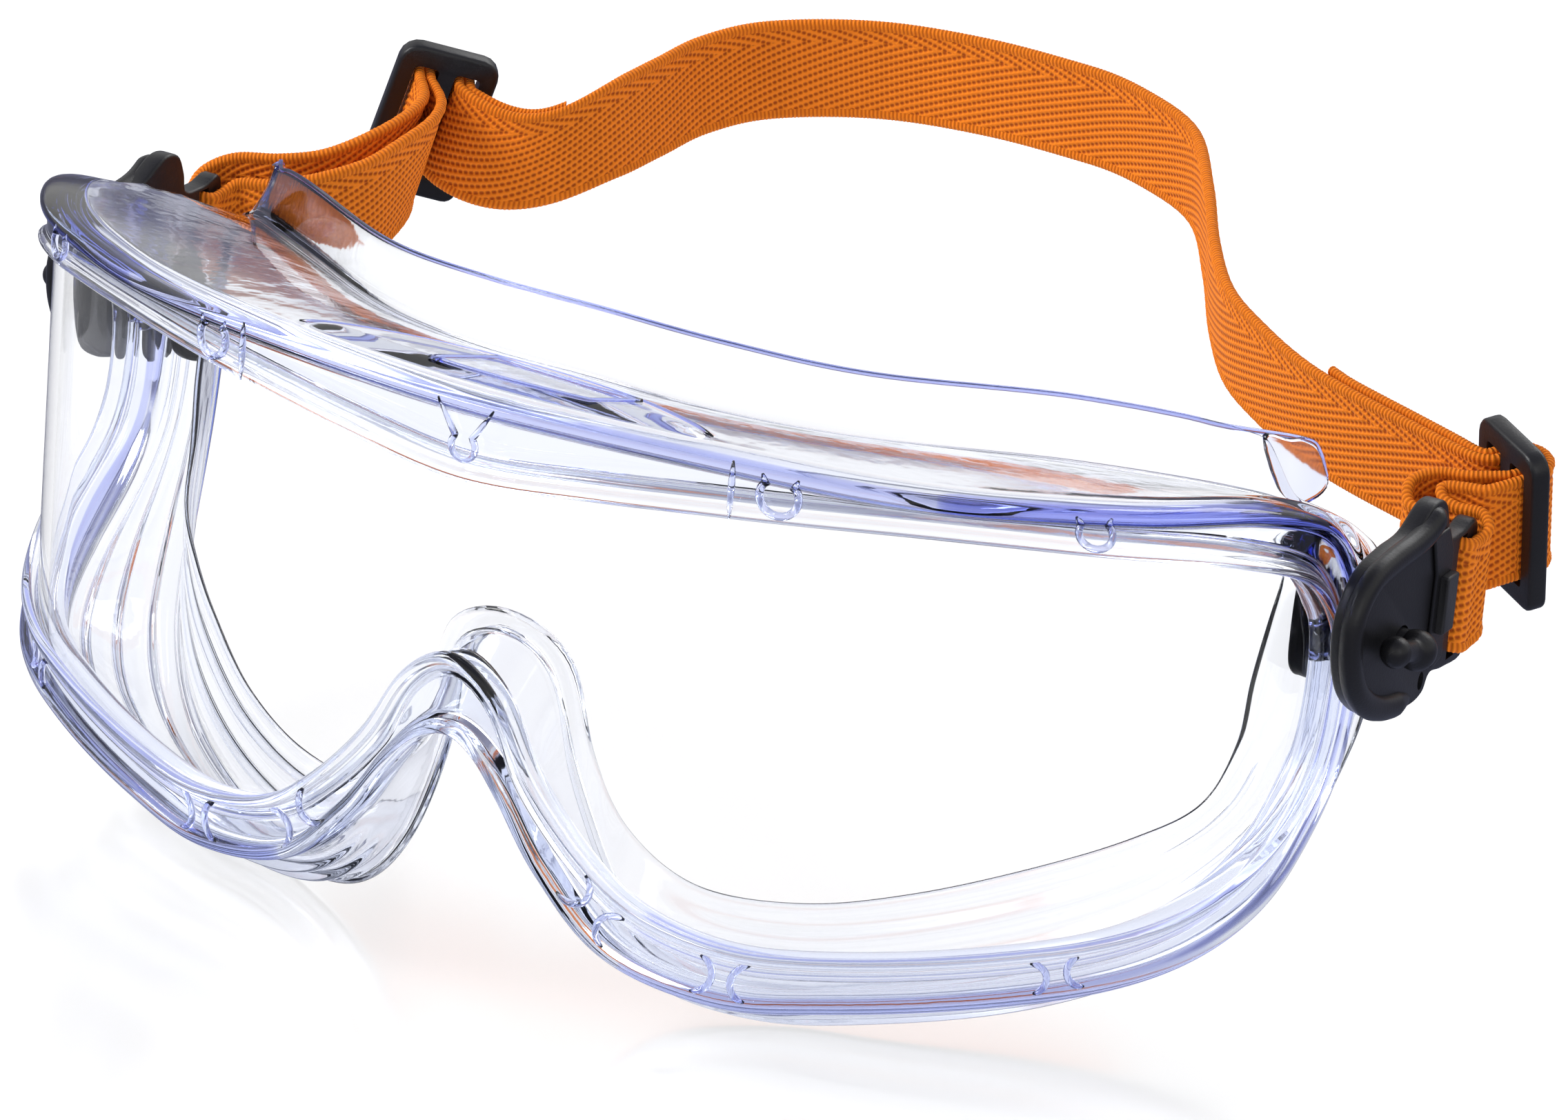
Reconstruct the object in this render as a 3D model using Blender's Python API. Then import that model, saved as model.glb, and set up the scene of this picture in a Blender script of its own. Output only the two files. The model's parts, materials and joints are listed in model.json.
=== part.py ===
"""Panoramic protective goggles: clear moulded frame, curved lens, elastic headband on two swivelling clips.

Metres, +Z up.  X runs to the wearer's left, +Y runs back toward the face and head, the lens faces -Y.
The lowest points of the two cheek rests lie on z = 0.  The drawing below measures y from the front of the
lens; at the end everything moves forward, so that the origin lies under the middle of the goggles.
"""

import math

import bmesh
import bpy
import numpy as np
from mathutils import Vector

MM = 0.001

# distance from the lens front to the middle of the whole assembly, front to back
FOOTPRINT_CENTRE_Y = 79.7

# lens plan curve: a wide front arc, a tighter temple arc, then straight back
FRONT_RADIUS = 122.0
FRONT_ANGLE = math.radians(34.0)
TEMPLE_RADIUS = 38.5
TEMPLE_ANGLE = math.radians(88.0)
LENS_THICKNESS = 1.4
GAP = 0.3

# front lip and lens groove
LIP_FRONT = 2.0
LENS_OVERLAP = 3.4
BACK_LIP_SET = 1.2
BACK_LIP_DEPTH = 3.6
WALL = 2.2
FLANGE_WALL = 1.2
STEPS = 4

# swivel on each temple
PIVOT_Y = 66.0
PIVOT_Z = 50.5
SHAFT_RADIUS = 2.2
BOSS_RADIUS = 3.7
CLIP_INNER = 88.7
CLIP_THICKNESS = 2.6
BAR_Y = 84.5
BAR_Z = 51.5
BAR_X = CLIP_INNER + CLIP_THICKNESS / 2

# elastic headband
STRAP_WIDTH = 15.0
STRAP_THICKNESS = 1.1
STRAP_TILT = math.radians(12.0)
STRAP_BASE_Y = 57.0
STRAP_BASE_Z = 49.0
CLIP_DIP = 3.3

# sliding buckle
BUCKLE_LENGTH = 22.0
BUCKLE_WIDTH = 13.6
BUCKLE_THICKNESS = 2.5
BUCKLE_BAR = 2.2
BUCKLE_SLOT = 3.4
INNER_WRAP = 2.0
OUTER_WRAP = 3.5
LEFT_BUCKLE = (91.0, 97.6)
RIGHT_BUCKLE = (-77.0, 118.6)


def clear_scene():
    for thing in list(bpy.data.objects):
        bpy.data.objects.remove(thing, do_unlink=True)


def material(name, color, roughness, transmission=0.0, alpha=1.0):
    made = bpy.data.materials.new(name)
    made.use_nodes = True
    shader = made.node_tree.nodes["Principled BSDF"]
    shader.inputs["Base Color"].default_value = (*color, 1.0)
    shader.inputs["Roughness"].default_value = roughness
    shader.inputs["Transmission Weight"].default_value = transmission
    shader.inputs["Alpha"].default_value = alpha
    return made


def solid(name, points, faces, look):
    """One closed body from points in millimetres."""
    mesh = bpy.data.meshes.new(name)
    mesh.from_pydata([Vector(p) * MM for p in points], [], faces)
    work = bmesh.new()
    work.from_mesh(mesh)
    bmesh.ops.remove_doubles(work, verts=work.verts, dist=0.00001)
    bmesh.ops.recalc_face_normals(work, faces=work.faces)
    work.to_mesh(mesh)
    work.free()
    mesh.materials.append(look)
    thing = bpy.data.objects.new(name, mesh)
    bpy.context.scene.collection.objects.link(thing)
    return thing


def set_origin(thing, x, y, z):
    """Moves an object's origin to a point in millimetres and leaves its shape in place."""
    place = Vector((x, y, z)) * MM
    for vertex in thing.data.vertices:
        vertex.co -= place
    thing.location = place


def combine(target, other, operation):
    """Boolean of two objects, applied by leaving the modifier on the target."""
    change = target.modifiers.new(operation.lower(), "BOOLEAN")
    change.operation = operation
    change.solver = "EXACT"
    change.object = other
    other.hide_render = True
    other.display_type = "WIRE"


def spline(controls, steps):
    """Catmull-Rom curve through control rows, open ended, `steps` pieces between neighbours."""
    rows = np.array(controls, dtype=float)
    padded = np.vstack([2 * rows[0] - rows[1], rows, 2 * rows[-1] - rows[-2]])
    out = []
    for i in range(len(rows) - 1):
        a, b, c, d = padded[i : i + 4]
        for k in range(steps):
            t = k / steps
            out.append(
                0.5
                * (
                    2 * b
                    + (c - a) * t
                    + (2 * a - 5 * b + 4 * c - d) * t * t
                    + (3 * b - a - 3 * c + d) * t**3
                )
            )
    out.append(rows[-1])
    return np.array(out)


# ------------------------------------------------------------------ lens surface


def plan_point(s):
    """Plan position and forward normal of the lens front surface at developed length s."""
    side = -1.0 if s < 0 else 1.0
    length = abs(s)
    front_length = FRONT_RADIUS * FRONT_ANGLE
    temple_length = TEMPLE_RADIUS * (TEMPLE_ANGLE - FRONT_ANGLE)
    if length <= front_length:
        angle = length / FRONT_RADIUS
        x = FRONT_RADIUS * math.sin(angle)
        y = FRONT_RADIUS * (1 - math.cos(angle))
    else:
        x = (FRONT_RADIUS - TEMPLE_RADIUS) * math.sin(FRONT_ANGLE)
        y = FRONT_RADIUS - (FRONT_RADIUS - TEMPLE_RADIUS) * math.cos(FRONT_ANGLE)
        beyond = max(0.0, length - front_length - temple_length)
        angle = FRONT_ANGLE + (length - front_length - beyond) / TEMPLE_RADIUS
        x += TEMPLE_RADIUS * math.sin(angle) + beyond * math.cos(angle)
        y += -TEMPLE_RADIUS * math.cos(angle) + beyond * math.sin(angle)
    return side * x, y, side * math.sin(angle), -math.cos(angle)


def on_lens(s, z, forward=0.0):
    x, y, nx, ny = plan_point(s)
    return np.array([x + nx * forward, y + ny * forward, z])


# ------------------------------------------------------------------ frame stations
# Each row is one place around the window, from the top centre over the temple to the nose:
# window edge (s, z), lip outer edge (s, z), skirt corner (x, y, z), face seal tip (x, y, z), top flange height

RIM = [
    (0, 68.5, 0, 79.0, 0, 27, 73.0, 0, 28, 70.5, 8.5),
    (17, 70.0, 17, 79.0, 16, 28, 72.5, 16, 29, 70.0, 8.5),
    (33, 71.2, 33, 78.5, 33, 34, 71.5, 33, 35, 69.0, 8.0),
    (56, 71.8, 56, 77.0, 54, 50, 69.0, 53, 51, 66.5, 8.0),
    (79, 70.5, 78, 76.5, 71, 67, 64.0, 68, 67, 61.0, 7.0),
    (94, 67.5, 97, 74.5, 79, 75, 59.5, 74, 70, 57.5, 4.0),
    (106, 62.5, 112, 68.0, 82, 78, 55.0, 75.5, 66, 55.0, 1.2),
    (114, 54.0, 120.5, 57.0, 83, 79, 49.0, 75.5, 63, 50.0, 0.8),
    (115.5, 45.0, 122, 45.5, 83, 78, 41.0, 75.0, 61, 43.0, 0.8),
    (112.5, 36.0, 118.5, 33.0, 82, 75, 31.0, 74.5, 60, 35.0, 0.8),
    (102, 29.0, 107, 23.5, 79, 68, 20.0, 72.5, 56, 28.0, 0.8),
    (89, 24.0, 92, 17.5, 72, 55, 10.5, 67, 50, 24.0, 0.8),
    (70, 20.5, 71, 13.5, 61, 42, 4.5, 58.5, 42, 20.5, 0.8),
    (50, 17.8, 50, 10.5, 47, 31, 0.7, 47, 32.5, 17.0, 0.8),
    (37, 17.2, 36, 9.3, 34, 24, -0.5, 35, 26.5, 14.3, 0.8),
    (26, 20.0, 22, 12.8, 22, 19, 4.0, 22, 24, 13.7, 0.8),
    (18.5, 25.7, 12.8, 21.5, 14.5, 17, 12.5, 14, 20.5, 20.0, 0.8),
    (11.5, 34.0, 7.2, 29.8, 9.0, 15, 27.0, 11.0, 15.5, 31.0, 0.8),
    (6.3, 43.0, 3.4, 34.6, 6.0, 13.5, 41.0, 8.3, 13, 43.8, 0.8),
    (0, 47.0, 0, 36.2, 0, 12.5, 45.3, 0, 12, 48.0, 0.8),
]


def mirrored(row):
    """The same station on the other side of the middle plane."""
    return [-value if column in (0, 2, 4, 7) else value for column, value in enumerate(row)]


def stations():
    """Rows all the way round, starting at the top centre and passing the +X temple first."""
    rows = [mirrored(RIM[1])] + list(RIM) + [mirrored(RIM[-2])]
    half = spline(rows, STEPS)[STEPS : -STEPS]
    other = np.array([mirrored(row) for row in half[-2:0:-1]])
    return np.vstack([half, other])


def toward_lip(row, distance):
    """Developed position `distance` outward from the window edge."""
    start = np.array(row[0:2])
    out = np.array(row[2:4]) - start
    return start + out * distance / np.linalg.norm(out)


def frame_body(look):
    rows = stations()
    count = len(rows)
    lip_rear = [on_lens(r[2], r[3], -3.0) for r in rows]
    rings = []
    for i, row in enumerate(rows):
        window, lip = row[0:2], row[2:4]
        corner, tip, height = row[4:7], row[7:10], row[10]
        along = lip_rear[(i + 1) % count] - lip_rear[i - 1]
        wall = corner - lip_rear[i]
        inward = np.cross(wall, along)
        inward /= np.linalg.norm(inward)
        back = wall / np.linalg.norm(wall)
        groove = toward_lip(row, LENS_OVERLAP + GAP)
        back_lip = toward_lip(row, BACK_LIP_SET)
        deep = -LENS_THICKNESS - GAP
        middle = lip_rear[i] * 0.5 + corner * 0.5
        tip_side = np.cross(tip - corner - inward * WALL * 0.5, along)
        tip_side *= FLANGE_WALL / max(np.linalg.norm(tip_side), 1e-6)
        rings.append(
            [
                on_lens(*window, GAP),
                on_lens(*window, LIP_FRONT),
                on_lens(*lip, LIP_FRONT - 0.2),
                lip_rear[i],
                middle,
                corner - back * FLANGE_WALL,
                corner - back * FLANGE_WALL - inward * height,
                corner - inward * height,
                corner + back * 0.6 + inward * WALL * 0.5,
                tip - tip_side * 0.5,
                tip + tip_side * 0.5,
                corner - back * 1.4 + inward * WALL,
                middle + inward * WALL,
                on_lens(*back_lip, -BACK_LIP_DEPTH),
                on_lens(*back_lip, deep),
                on_lens(*groove, deep),
                on_lens(*groove, GAP),
            ]
        )
    points = [p for ring in rings for p in ring]
    size = len(rings[0])
    faces = []
    for i in range(count):
        j = (i + 1) % count
        for k in range(size):
            m = (k + 1) % size
            faces.append((i * size + k, j * size + k, j * size + m, i * size + m))
    return solid("frame", points, faces, look)


def lens_body(look):
    rows = stations()
    half = len(rows) // 2
    edge = np.array([toward_lip(r, LENS_OVERLAP) for r in rows])
    right_top = edge[: 8 * STEPS]
    top = np.vstack([right_top[:0:-1] * (-1, 1), right_top])
    right_low = edge[8 * STEPS - 1 : half + 1][::-1]
    low = np.vstack([right_low[:0:-1] * (-1, 1), right_low])
    low = low[np.argsort(low[:, 0], kind="stable")]
    reach = min(top[:, 0].max(), low[:, 0].max()) - 0.05
    columns = np.unique(np.round(np.concatenate([top[:, 0], low[:, 0]]), 2))
    columns = columns[np.abs(columns) < reach]
    columns = np.concatenate([[-reach], columns, [reach]])
    points = []
    faces = []
    for s in columns:
        high_z = np.interp(s, top[:, 0], top[:, 1])
        low_z = np.interp(s, low[:, 0], low[:, 1])
        for z, depth in ((high_z, 0.0), (low_z, 0.0), (low_z, -LENS_THICKNESS), (high_z, -LENS_THICKNESS)):
            points.append(on_lens(s, z, depth))
    for i in range(len(columns) - 1):
        a, b = 4 * i, 4 * i + 4
        for k in range(4):
            m = (k + 1) % 4
            faces.append((a + k, b + k, b + m, a + m))
    last = 4 * len(columns) - 4
    faces.append((0, 1, 2, 3))
    faces.append((last + 3, last + 2, last + 1, last))
    return solid("lens", points, faces, look)


# ------------------------------------------------------------------ simple solids


def tube_along_x(name, side, start, end, radius, y, z, look, segments=28):
    """Closed cylinder between two distances from the middle plane."""
    points = []
    for x in (start, end):
        for k in range(segments):
            turn = 2 * math.pi * k / segments
            points.append((side * x, y + radius * math.cos(turn), z + radius * math.sin(turn)))
    faces = [tuple(range(segments)), tuple(range(2 * segments - 1, segments - 1, -1))]
    for k in range(segments):
        m = (k + 1) % segments
        faces.append((k, m, segments + m, segments + k))
    return solid(name, points, faces, look)


def ball(name, side, x, y, z, radius, look, rings=9):
    points = []
    faces = []
    around = 2 * rings
    points.append((side * x, y, z + radius))
    for i in range(1, rings):
        fall = math.pi * i / rings
        for k in range(around):
            turn = 2 * math.pi * k / around
            ring = radius * math.sin(fall)
            points.append(
                (side * x + ring * math.cos(turn), y + ring * math.sin(turn), z + radius * math.cos(fall))
            )
    points.append((side * x, y, z - radius))
    for k in range(around):
        m = (k + 1) % around
        faces.append((0, 1 + k, 1 + m))
        for i in range(rings - 2):
            a = 1 + i * around
            b = a + around
            faces.append((a + k, b + k, b + m, a + m))
        a = 1 + (rings - 2) * around
        faces.append((a + k, len(points) - 1, a + m))
    return solid(name, points, faces, look)


def plate_along_x(name, side, start, end, outline, look):
    """Closed plate with a (y, z) outline between two distances from the middle plane."""
    count = len(outline)
    points = [(side * start, y, z) for y, z in outline]
    points += [(side * end, y, z) for y, z in outline]
    faces = [tuple(range(count)), tuple(range(2 * count - 1, count - 1, -1))]
    for k in range(count):
        m = (k + 1) % count
        faces.append((k, m, count + m, count + k))
    return solid(name, points, faces, look)


def loop_outline(controls, steps=5):
    """Rounded closed outline through (y, z) controls."""
    rows = np.array(controls, dtype=float)
    padded = np.vstack([rows[-1], rows, rows[:2]])
    out = []
    for i in range(len(rows)):
        a, b, c, d = padded[i : i + 4]
        for k in range(steps):
            t = k / steps
            out.append(
                0.5
                * (
                    2 * b
                    + (c - a) * t
                    + (2 * a - 5 * b + 4 * c - d) * t * t
                    + (3 * b - a - 3 * c + d) * t**3
                )
            )
    return [tuple(p) for p in out]


# ------------------------------------------------------------------ temple swivel


def flatten_rests(frame, look):
    """Small flats where the two soft cheek rests press on a table."""
    points = []
    for z in (-6.0, 0.0):
        for x, y in ((-100, -20), (100, -20), (100, 100), (-100, 100)):
            points.append((x, y, z))
    faces = [(0, 3, 2, 1), (4, 5, 6, 7), (0, 1, 5, 4), (1, 2, 6, 5), (2, 3, 7, 6), (3, 0, 4, 7)]
    table = solid("table_form", points, faces, look)
    combine(frame, table, "DIFFERENCE")


def bore_frame(frame, look):
    """Bosses that carry the two studs, with a through hole in each."""
    for side, word in ((1, "left"), (-1, "right")):
        boss = tube_along_x(
            word + "_boss_form", side, 80.6, CLIP_INNER - GAP, BOSS_RADIUS, PIVOT_Y, PIVOT_Z, look
        )
        combine(frame, boss, "UNION")
    for side, word in ((1, "left"), (-1, "right")):
        hole = tube_along_x(
            word + "_hole_form", side, 70.0, 95.0, SHAFT_RADIUS + GAP, PIVOT_Y, PIVOT_Z, look
        )
        combine(frame, hole, "DIFFERENCE")


def stud_body(side, word, look):
    """Leaf shaped inner head, shaft, and an outer knob of a large and a small ball."""
    leaf = loop_outline(
        [(62.3, 57.0), (65.0, 57.8), (68.0, 54.5), (69.5, 49.0), (69.0, 43.6), (66.8, 42.8), (62.4, 45.5), (61.6, 50.5)]
    )
    stud = plate_along_x(word + "_stud", side, 78.6, 80.2, leaf, look)
    end = CLIP_INNER + CLIP_THICKNESS + 1.2
    shaft = tube_along_x(word + "_shaft_form", side, 79.4, end, SHAFT_RADIUS, PIVOT_Y, PIVOT_Z, look)
    large = ball(word + "_large_form", side, end + 1.0, PIVOT_Y, PIVOT_Z, 2.5, look)
    small = ball(word + "_small_form", side, end + 0.6, PIVOT_Y - 9.0, PIVOT_Z + 3.0, 1.8, look)
    neck_outline = loop_outline(
        [
            (PIVOT_Y - 0.4, PIVOT_Z + 1.3),
            (PIVOT_Y - 9.0, PIVOT_Z + 4.1),
            (PIVOT_Y - 9.6, PIVOT_Z + 2.1),
            (PIVOT_Y - 0.4, PIVOT_Z - 1.3),
        ]
    )
    neck = plate_along_x(
        word + "_neck_form", side, CLIP_INNER + CLIP_THICKNESS + GAP, end + 1.0, neck_outline, look
    )
    for piece in (shaft, large, small, neck):
        combine(stud, piece, "UNION")
    return stud


CLIP_OUTLINE = [
    (72.0, 66.6),
    (75.6, 66.0),
    (77.2, 63.2),
    (78.0, 60.4),
    (82.0, 60.0),
    (86.3, 60.0),
    (86.3, 43.0),
    (80.8, 42.6),
    (76.6, 43.2),
    (74.8, 41.2),
    (70.5, 40.8),
    (61.4, 42.7),
    (57.0, 44.9),
    (53.4, 48.2),
    (51.0, 53.0),
    (50.6, 57.6),
    (52.4, 61.0),
    (55.7, 63.4),
    (61.4, 64.2),
    (67.0, 64.4),
]


def clip_body(side, word, look):
    """Flat swivelling plate with a thumb tab, a strap slot in front of the rear bar, and a shaft hole."""
    clip = plate_along_x(
        word + "_clip", side, CLIP_INNER, CLIP_INNER + CLIP_THICKNESS, CLIP_OUTLINE, look
    )
    slot_front = BAR_Y - 1.3 - 2.2
    slot = plate_along_x(
        word + "_slot_form",
        side,
        CLIP_INNER - 3,
        CLIP_INNER + CLIP_THICKNESS + 3,
        [
            (slot_front, BAR_Z - 8.0),
            (BAR_Y - 1.3, BAR_Z - 8.0),
            (BAR_Y - 1.3, BAR_Z + 8.0),
            (slot_front, BAR_Z + 8.0),
        ],
        look,
    )
    hole = tube_along_x(
        word + "_clip_hole_form",
        side,
        CLIP_INNER - 3,
        CLIP_INNER + CLIP_THICKNESS + 3,
        SHAFT_RADIUS + GAP,
        PIVOT_Y,
        PIVOT_Z,
        look,
    )
    combine(clip, slot, "DIFFERENCE")
    combine(clip, hole, "DIFFERENCE")
    set_origin(clip, side * BAR_X, PIVOT_Y, PIVOT_Z)
    return clip


# ------------------------------------------------------------------ headband


def strap_height(y):
    """Height of the strap's centre line: it climbs backwards and dips where it meets the clip."""
    rise = STRAP_BASE_Z + math.tan(STRAP_TILT) * (y - STRAP_BASE_Y)
    return rise - CLIP_DIP * math.exp(-(((y - BAR_Y) / 5.0) ** 2))


def strap_lean(y):
    """Backward lean of the strap's width, upright at the clip."""
    amount = min(max((y - 85.5) / 8.0, 0.0), 1.0)
    return STRAP_TILT * amount * amount * (3 - 2 * amount)


def buckle_axes(side):
    """Plan directions of a buckle: across the slots (outward and forward) and through the plate (back)."""
    across = np.array([side * 0.821, -0.571])
    through = np.array([side * 0.571, 0.821])
    return across, through


def wrap(centre, across, through, offset, from_side, steps=7):
    """Way round the centre bar of a buckle at `offset` from it, entering on one side, leaving on the other."""
    points = []
    points.append(centre + across * from_side * offset - through * 1.5)
    points.append(centre + across * from_side * offset - through * 0.3)
    for k in range(steps + 1):
        turn = math.pi * k / steps
        points.append(
            centre
            + across * from_side * offset * math.cos(turn)
            + through * (0.9 + offset * math.sin(turn))
        )
    points.append(centre - across * from_side * offset - through * 0.3)
    points.append(centre - across * from_side * offset - through * 1.5)
    return points


def clip_wrap(side, steps=8):
    """Way round the front of the clip's bar, from the inner face to the outer face."""
    reach = CLIP_THICKNESS / 2 + GAP + STRAP_THICKNESS / 2
    points = [np.array([side * (BAR_X - reach), BAR_Y])]
    for k in range(steps + 1):
        turn = math.pi * k / steps
        points.append(
            np.array([side * (BAR_X - reach * math.cos(turn)), BAR_Y - 1.05 - 1.45 * math.sin(turn)])
        )
    points.append(np.array([side * (BAR_X + reach), BAR_Y]))
    return points


# plan controls in millimetres; each list leaves out its end points, which the wraps provide
BACK_OF_HEAD = [
    (-68, 117.9), (-63, 119.2), (-58, 122.2), (-54, 127.4), (-51.5, 135), (-49, 143), (-43, 150.4), (-30, 156.8),
    (-15, 159.2), (0, 158.9), (10, 156.6), (20, 151), (28, 139.5), (35, 127.6), (42, 118), (50, 111.6), (58, 106.6),
    (66, 103.2), (76, 99.9),
]
LEFT_INNER_LEG = [(88.9, 92.6), (86.8, 89.8), (86.9, 87.0)]
LEFT_OUTER_LEG = [(92.3, 87.0), (90.7, 89.6), (91.0, 92.0)]
LEFT_TAIL = [(85.7, 98.3), (82, 99.6), (76, 101.6), (66, 104.9), (62, 106.7)]
RIGHT_INNER_LEG = [(-73.8, 112.6), (-71.2, 107), (-70.8, 101), (-72, 95.5), (-76, 90.8), (-82, 88.1), (-86.6, 87.0)]
RIGHT_OUTER_LEG = [(-92.2, 87.4), (-88.6, 90.4), (-83, 92.2), (-78.2, 95.2), (-75.2, 99.8), (-74.2, 105), (-75.6, 111)]
RIGHT_TAIL = [(-71.7, 119.2), (-68, 119.6), (-63, 121.0), (-59.4, 123.4)]


def smooth_run(start, controls, end, steps=4):
    """Curve from the last two points of `start` through controls into the first two of `end`."""
    rows = [start[-2], start[-1]] + [np.array(c, dtype=float) for c in controls]
    if end is not None:
        rows += [end[0], end[1]]
    fine = spline(rows, steps)
    first = steps + 1
    last = len(fine) - steps - 1 if end is not None else len(fine)
    return [p for p in fine[first:last]]


def strap_plan():
    """The whole webbing as one line, from the end of one tail to the end of the other."""
    across, through = buckle_axes(1)
    centre = np.array(LEFT_BUCKLE)
    left_in = wrap(centre, across, through, INNER_WRAP, -1)
    left_out = wrap(centre, across, through, OUTER_WRAP, 1)
    left_clip = clip_wrap(1)
    across, through = buckle_axes(-1)
    centre = np.array(RIGHT_BUCKLE)
    right_in = wrap(centre, across, through, INNER_WRAP, -1)
    right_out = wrap(centre, across, through, OUTER_WRAP, 1)
    right_clip = clip_wrap(-1)

    near = list(right_in)
    near += smooth_run(right_in, RIGHT_INNER_LEG, right_clip)
    near += right_clip
    near += smooth_run(right_clip, RIGHT_OUTER_LEG, right_out)
    near += right_out
    near += smooth_run(right_out, RIGHT_TAIL, None)
    line = near[::-1]
    line += smooth_run(right_in[::-1], [(-71.8, 117.7)] + BACK_OF_HEAD + [(82, 98.0), (86.2, 97.0)], left_in)
    line += left_in
    line += smooth_run(left_in, LEFT_INNER_LEG, left_clip)
    line += left_clip
    line += smooth_run(left_clip, LEFT_OUTER_LEG, left_out)
    line += left_out
    line += smooth_run(left_out, LEFT_TAIL, None)
    return np.array(line)


def strap_body(look):
    line = strap_plan()
    forward = np.gradient(line, axis=0)
    forward /= np.linalg.norm(forward, axis=1)[:, None]
    points = []
    faces = []
    for (x, y), (dx, dy) in zip(line, forward):
        lean = strap_lean(y)
        up = np.array([0.0, -math.sin(lean), math.cos(lean)]) * STRAP_WIDTH / 2
        side = np.array([-dy, dx, 0.0]) * STRAP_THICKNESS / 2
        middle = np.array([x, y, strap_height(y)])
        for a, b in ((1, 1), (1, -1), (-1, -1), (-1, 1)):
            points.append(middle + side * a + up * b)
    for i in range(len(line) - 1):
        a, b = 4 * i, 4 * i + 4
        for k in range(4):
            m = (k + 1) % 4
            faces.append((a + k, b + k, b + m, a + m))
    last = 4 * len(line) - 4
    faces.append((0, 1, 2, 3))
    faces.append((last + 3, last + 2, last + 1, last))
    strap = solid("strap", points, faces, look)
    set_origin(strap, 0.0, PIVOT_Y, PIVOT_Z)
    return strap


def buckle_body(side, word, centre, look):
    """Flat plate with two slots and a centre bar, leaning with the strap."""
    across, through = buckle_axes(side)
    lean = STRAP_TILT
    origin = np.array([centre[0], centre[1], strap_height(centre[1])])
    width_way = np.array([across[0], across[1], across[1] * math.tan(lean)])
    depth_way = np.array([through[0], through[1], through[1] * math.tan(lean)])
    length_way = np.array([0.0, -math.sin(lean), math.cos(lean)])

    def box(name, wide, long, shift, deep):
        points = []
        for d in (-deep, deep):
            for w, h in ((-1, -1), (1, -1), (1, 1), (-1, 1)):
                points.append(
                    origin
                    + width_way * (shift + w * wide / 2)
                    + length_way * h * long / 2
                    + depth_way * d / 2
                )
        faces = [(0, 1, 2, 3), (7, 6, 5, 4), (0, 4, 5, 1), (1, 5, 6, 2), (2, 6, 7, 3), (3, 7, 4, 0)]
        return solid(name, points, faces, look)

    plate = box(word + "_buckle", BUCKLE_WIDTH, BUCKLE_LENGTH, 0.0, BUCKLE_THICKNESS)
    for way in (-1, 1):
        shift = way * (BUCKLE_BAR + BUCKLE_SLOT) / 2
        slot = box(word + "_cut_form_" + str(way + 1), BUCKLE_SLOT, STRAP_WIDTH + 1.4, shift, 12.0)
        combine(plate, slot, "DIFFERENCE")
    bevel = plate.modifiers.new("edge", "BEVEL")
    bevel.width = 0.45 * MM
    bevel.segments = 2
    bevel.limit_method = "ANGLE"
    set_origin(plate, *origin)
    return plate


def centre_footprint():
    """Moves everything so that the origin lies on the ground under the middle of the standing goggles."""
    for thing in bpy.context.scene.objects:
        thing.location.y -= FOOTPRINT_CENTRE_Y * MM


def main():
    clear_scene()
    clear_vinyl = material("clear_vinyl", (0.72, 0.78, 0.98), 0.08, 0.9, 0.45)
    clear_lens = material("clear_lens", (0.95, 0.97, 1.0), 0.02, 1.0, 0.25)
    black_plastic = material("black_plastic", (0.012, 0.012, 0.014), 0.45)
    orange_elastic = material("orange_elastic", (0.86, 0.28, 0.03), 0.85)
    frame = frame_body(clear_vinyl)
    bore_frame(frame, clear_vinyl)
    flatten_rests(frame, clear_vinyl)
    lens_body(clear_lens)
    strap_body(orange_elastic)
    for side, word, centre in ((1, "left", LEFT_BUCKLE), (-1, "right", RIGHT_BUCKLE)):
        stud_body(side, word, black_plastic)
        clip_body(side, word, black_plastic)
        buckle_body(side, word, centre, black_plastic)
    centre_footprint()


main()
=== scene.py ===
import json
import math

import bmesh
import bpy
import numpy as np
from mathutils import Matrix, Vector

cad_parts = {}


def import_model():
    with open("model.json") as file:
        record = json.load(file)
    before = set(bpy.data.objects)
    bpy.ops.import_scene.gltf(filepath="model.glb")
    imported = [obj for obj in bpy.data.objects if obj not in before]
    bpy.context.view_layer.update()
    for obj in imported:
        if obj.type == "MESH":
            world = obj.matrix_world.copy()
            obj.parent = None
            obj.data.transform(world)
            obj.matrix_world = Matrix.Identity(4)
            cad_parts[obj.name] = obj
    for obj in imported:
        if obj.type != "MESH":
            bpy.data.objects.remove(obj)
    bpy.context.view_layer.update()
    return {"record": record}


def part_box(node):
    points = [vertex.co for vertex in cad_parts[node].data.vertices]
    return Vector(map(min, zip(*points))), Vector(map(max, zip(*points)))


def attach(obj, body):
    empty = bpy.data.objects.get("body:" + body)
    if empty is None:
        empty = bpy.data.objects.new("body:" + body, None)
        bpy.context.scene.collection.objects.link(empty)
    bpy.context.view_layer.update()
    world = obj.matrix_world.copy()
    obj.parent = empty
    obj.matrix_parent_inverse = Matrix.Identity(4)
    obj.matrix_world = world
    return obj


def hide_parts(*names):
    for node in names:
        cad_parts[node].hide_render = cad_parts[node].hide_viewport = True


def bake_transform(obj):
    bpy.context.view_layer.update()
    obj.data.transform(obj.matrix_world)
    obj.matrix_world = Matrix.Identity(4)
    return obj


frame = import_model()

MM = 0.001
IMAGE_WIDTH = 2273

# lens and frame, millimetres
FRONT_RADIUS = 122.0
FRONT_ANGLE = math.radians(34.0)
TEMPLE_RADIUS = 38.5
TEMPLE_ANGLE = math.radians(88.0)
LENS_THICKNESS = 1.4
GAP = 0.3
LENS_OVERLAP = 3.4
WALL = 1.9
VINYL_IOR = 1.50

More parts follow.
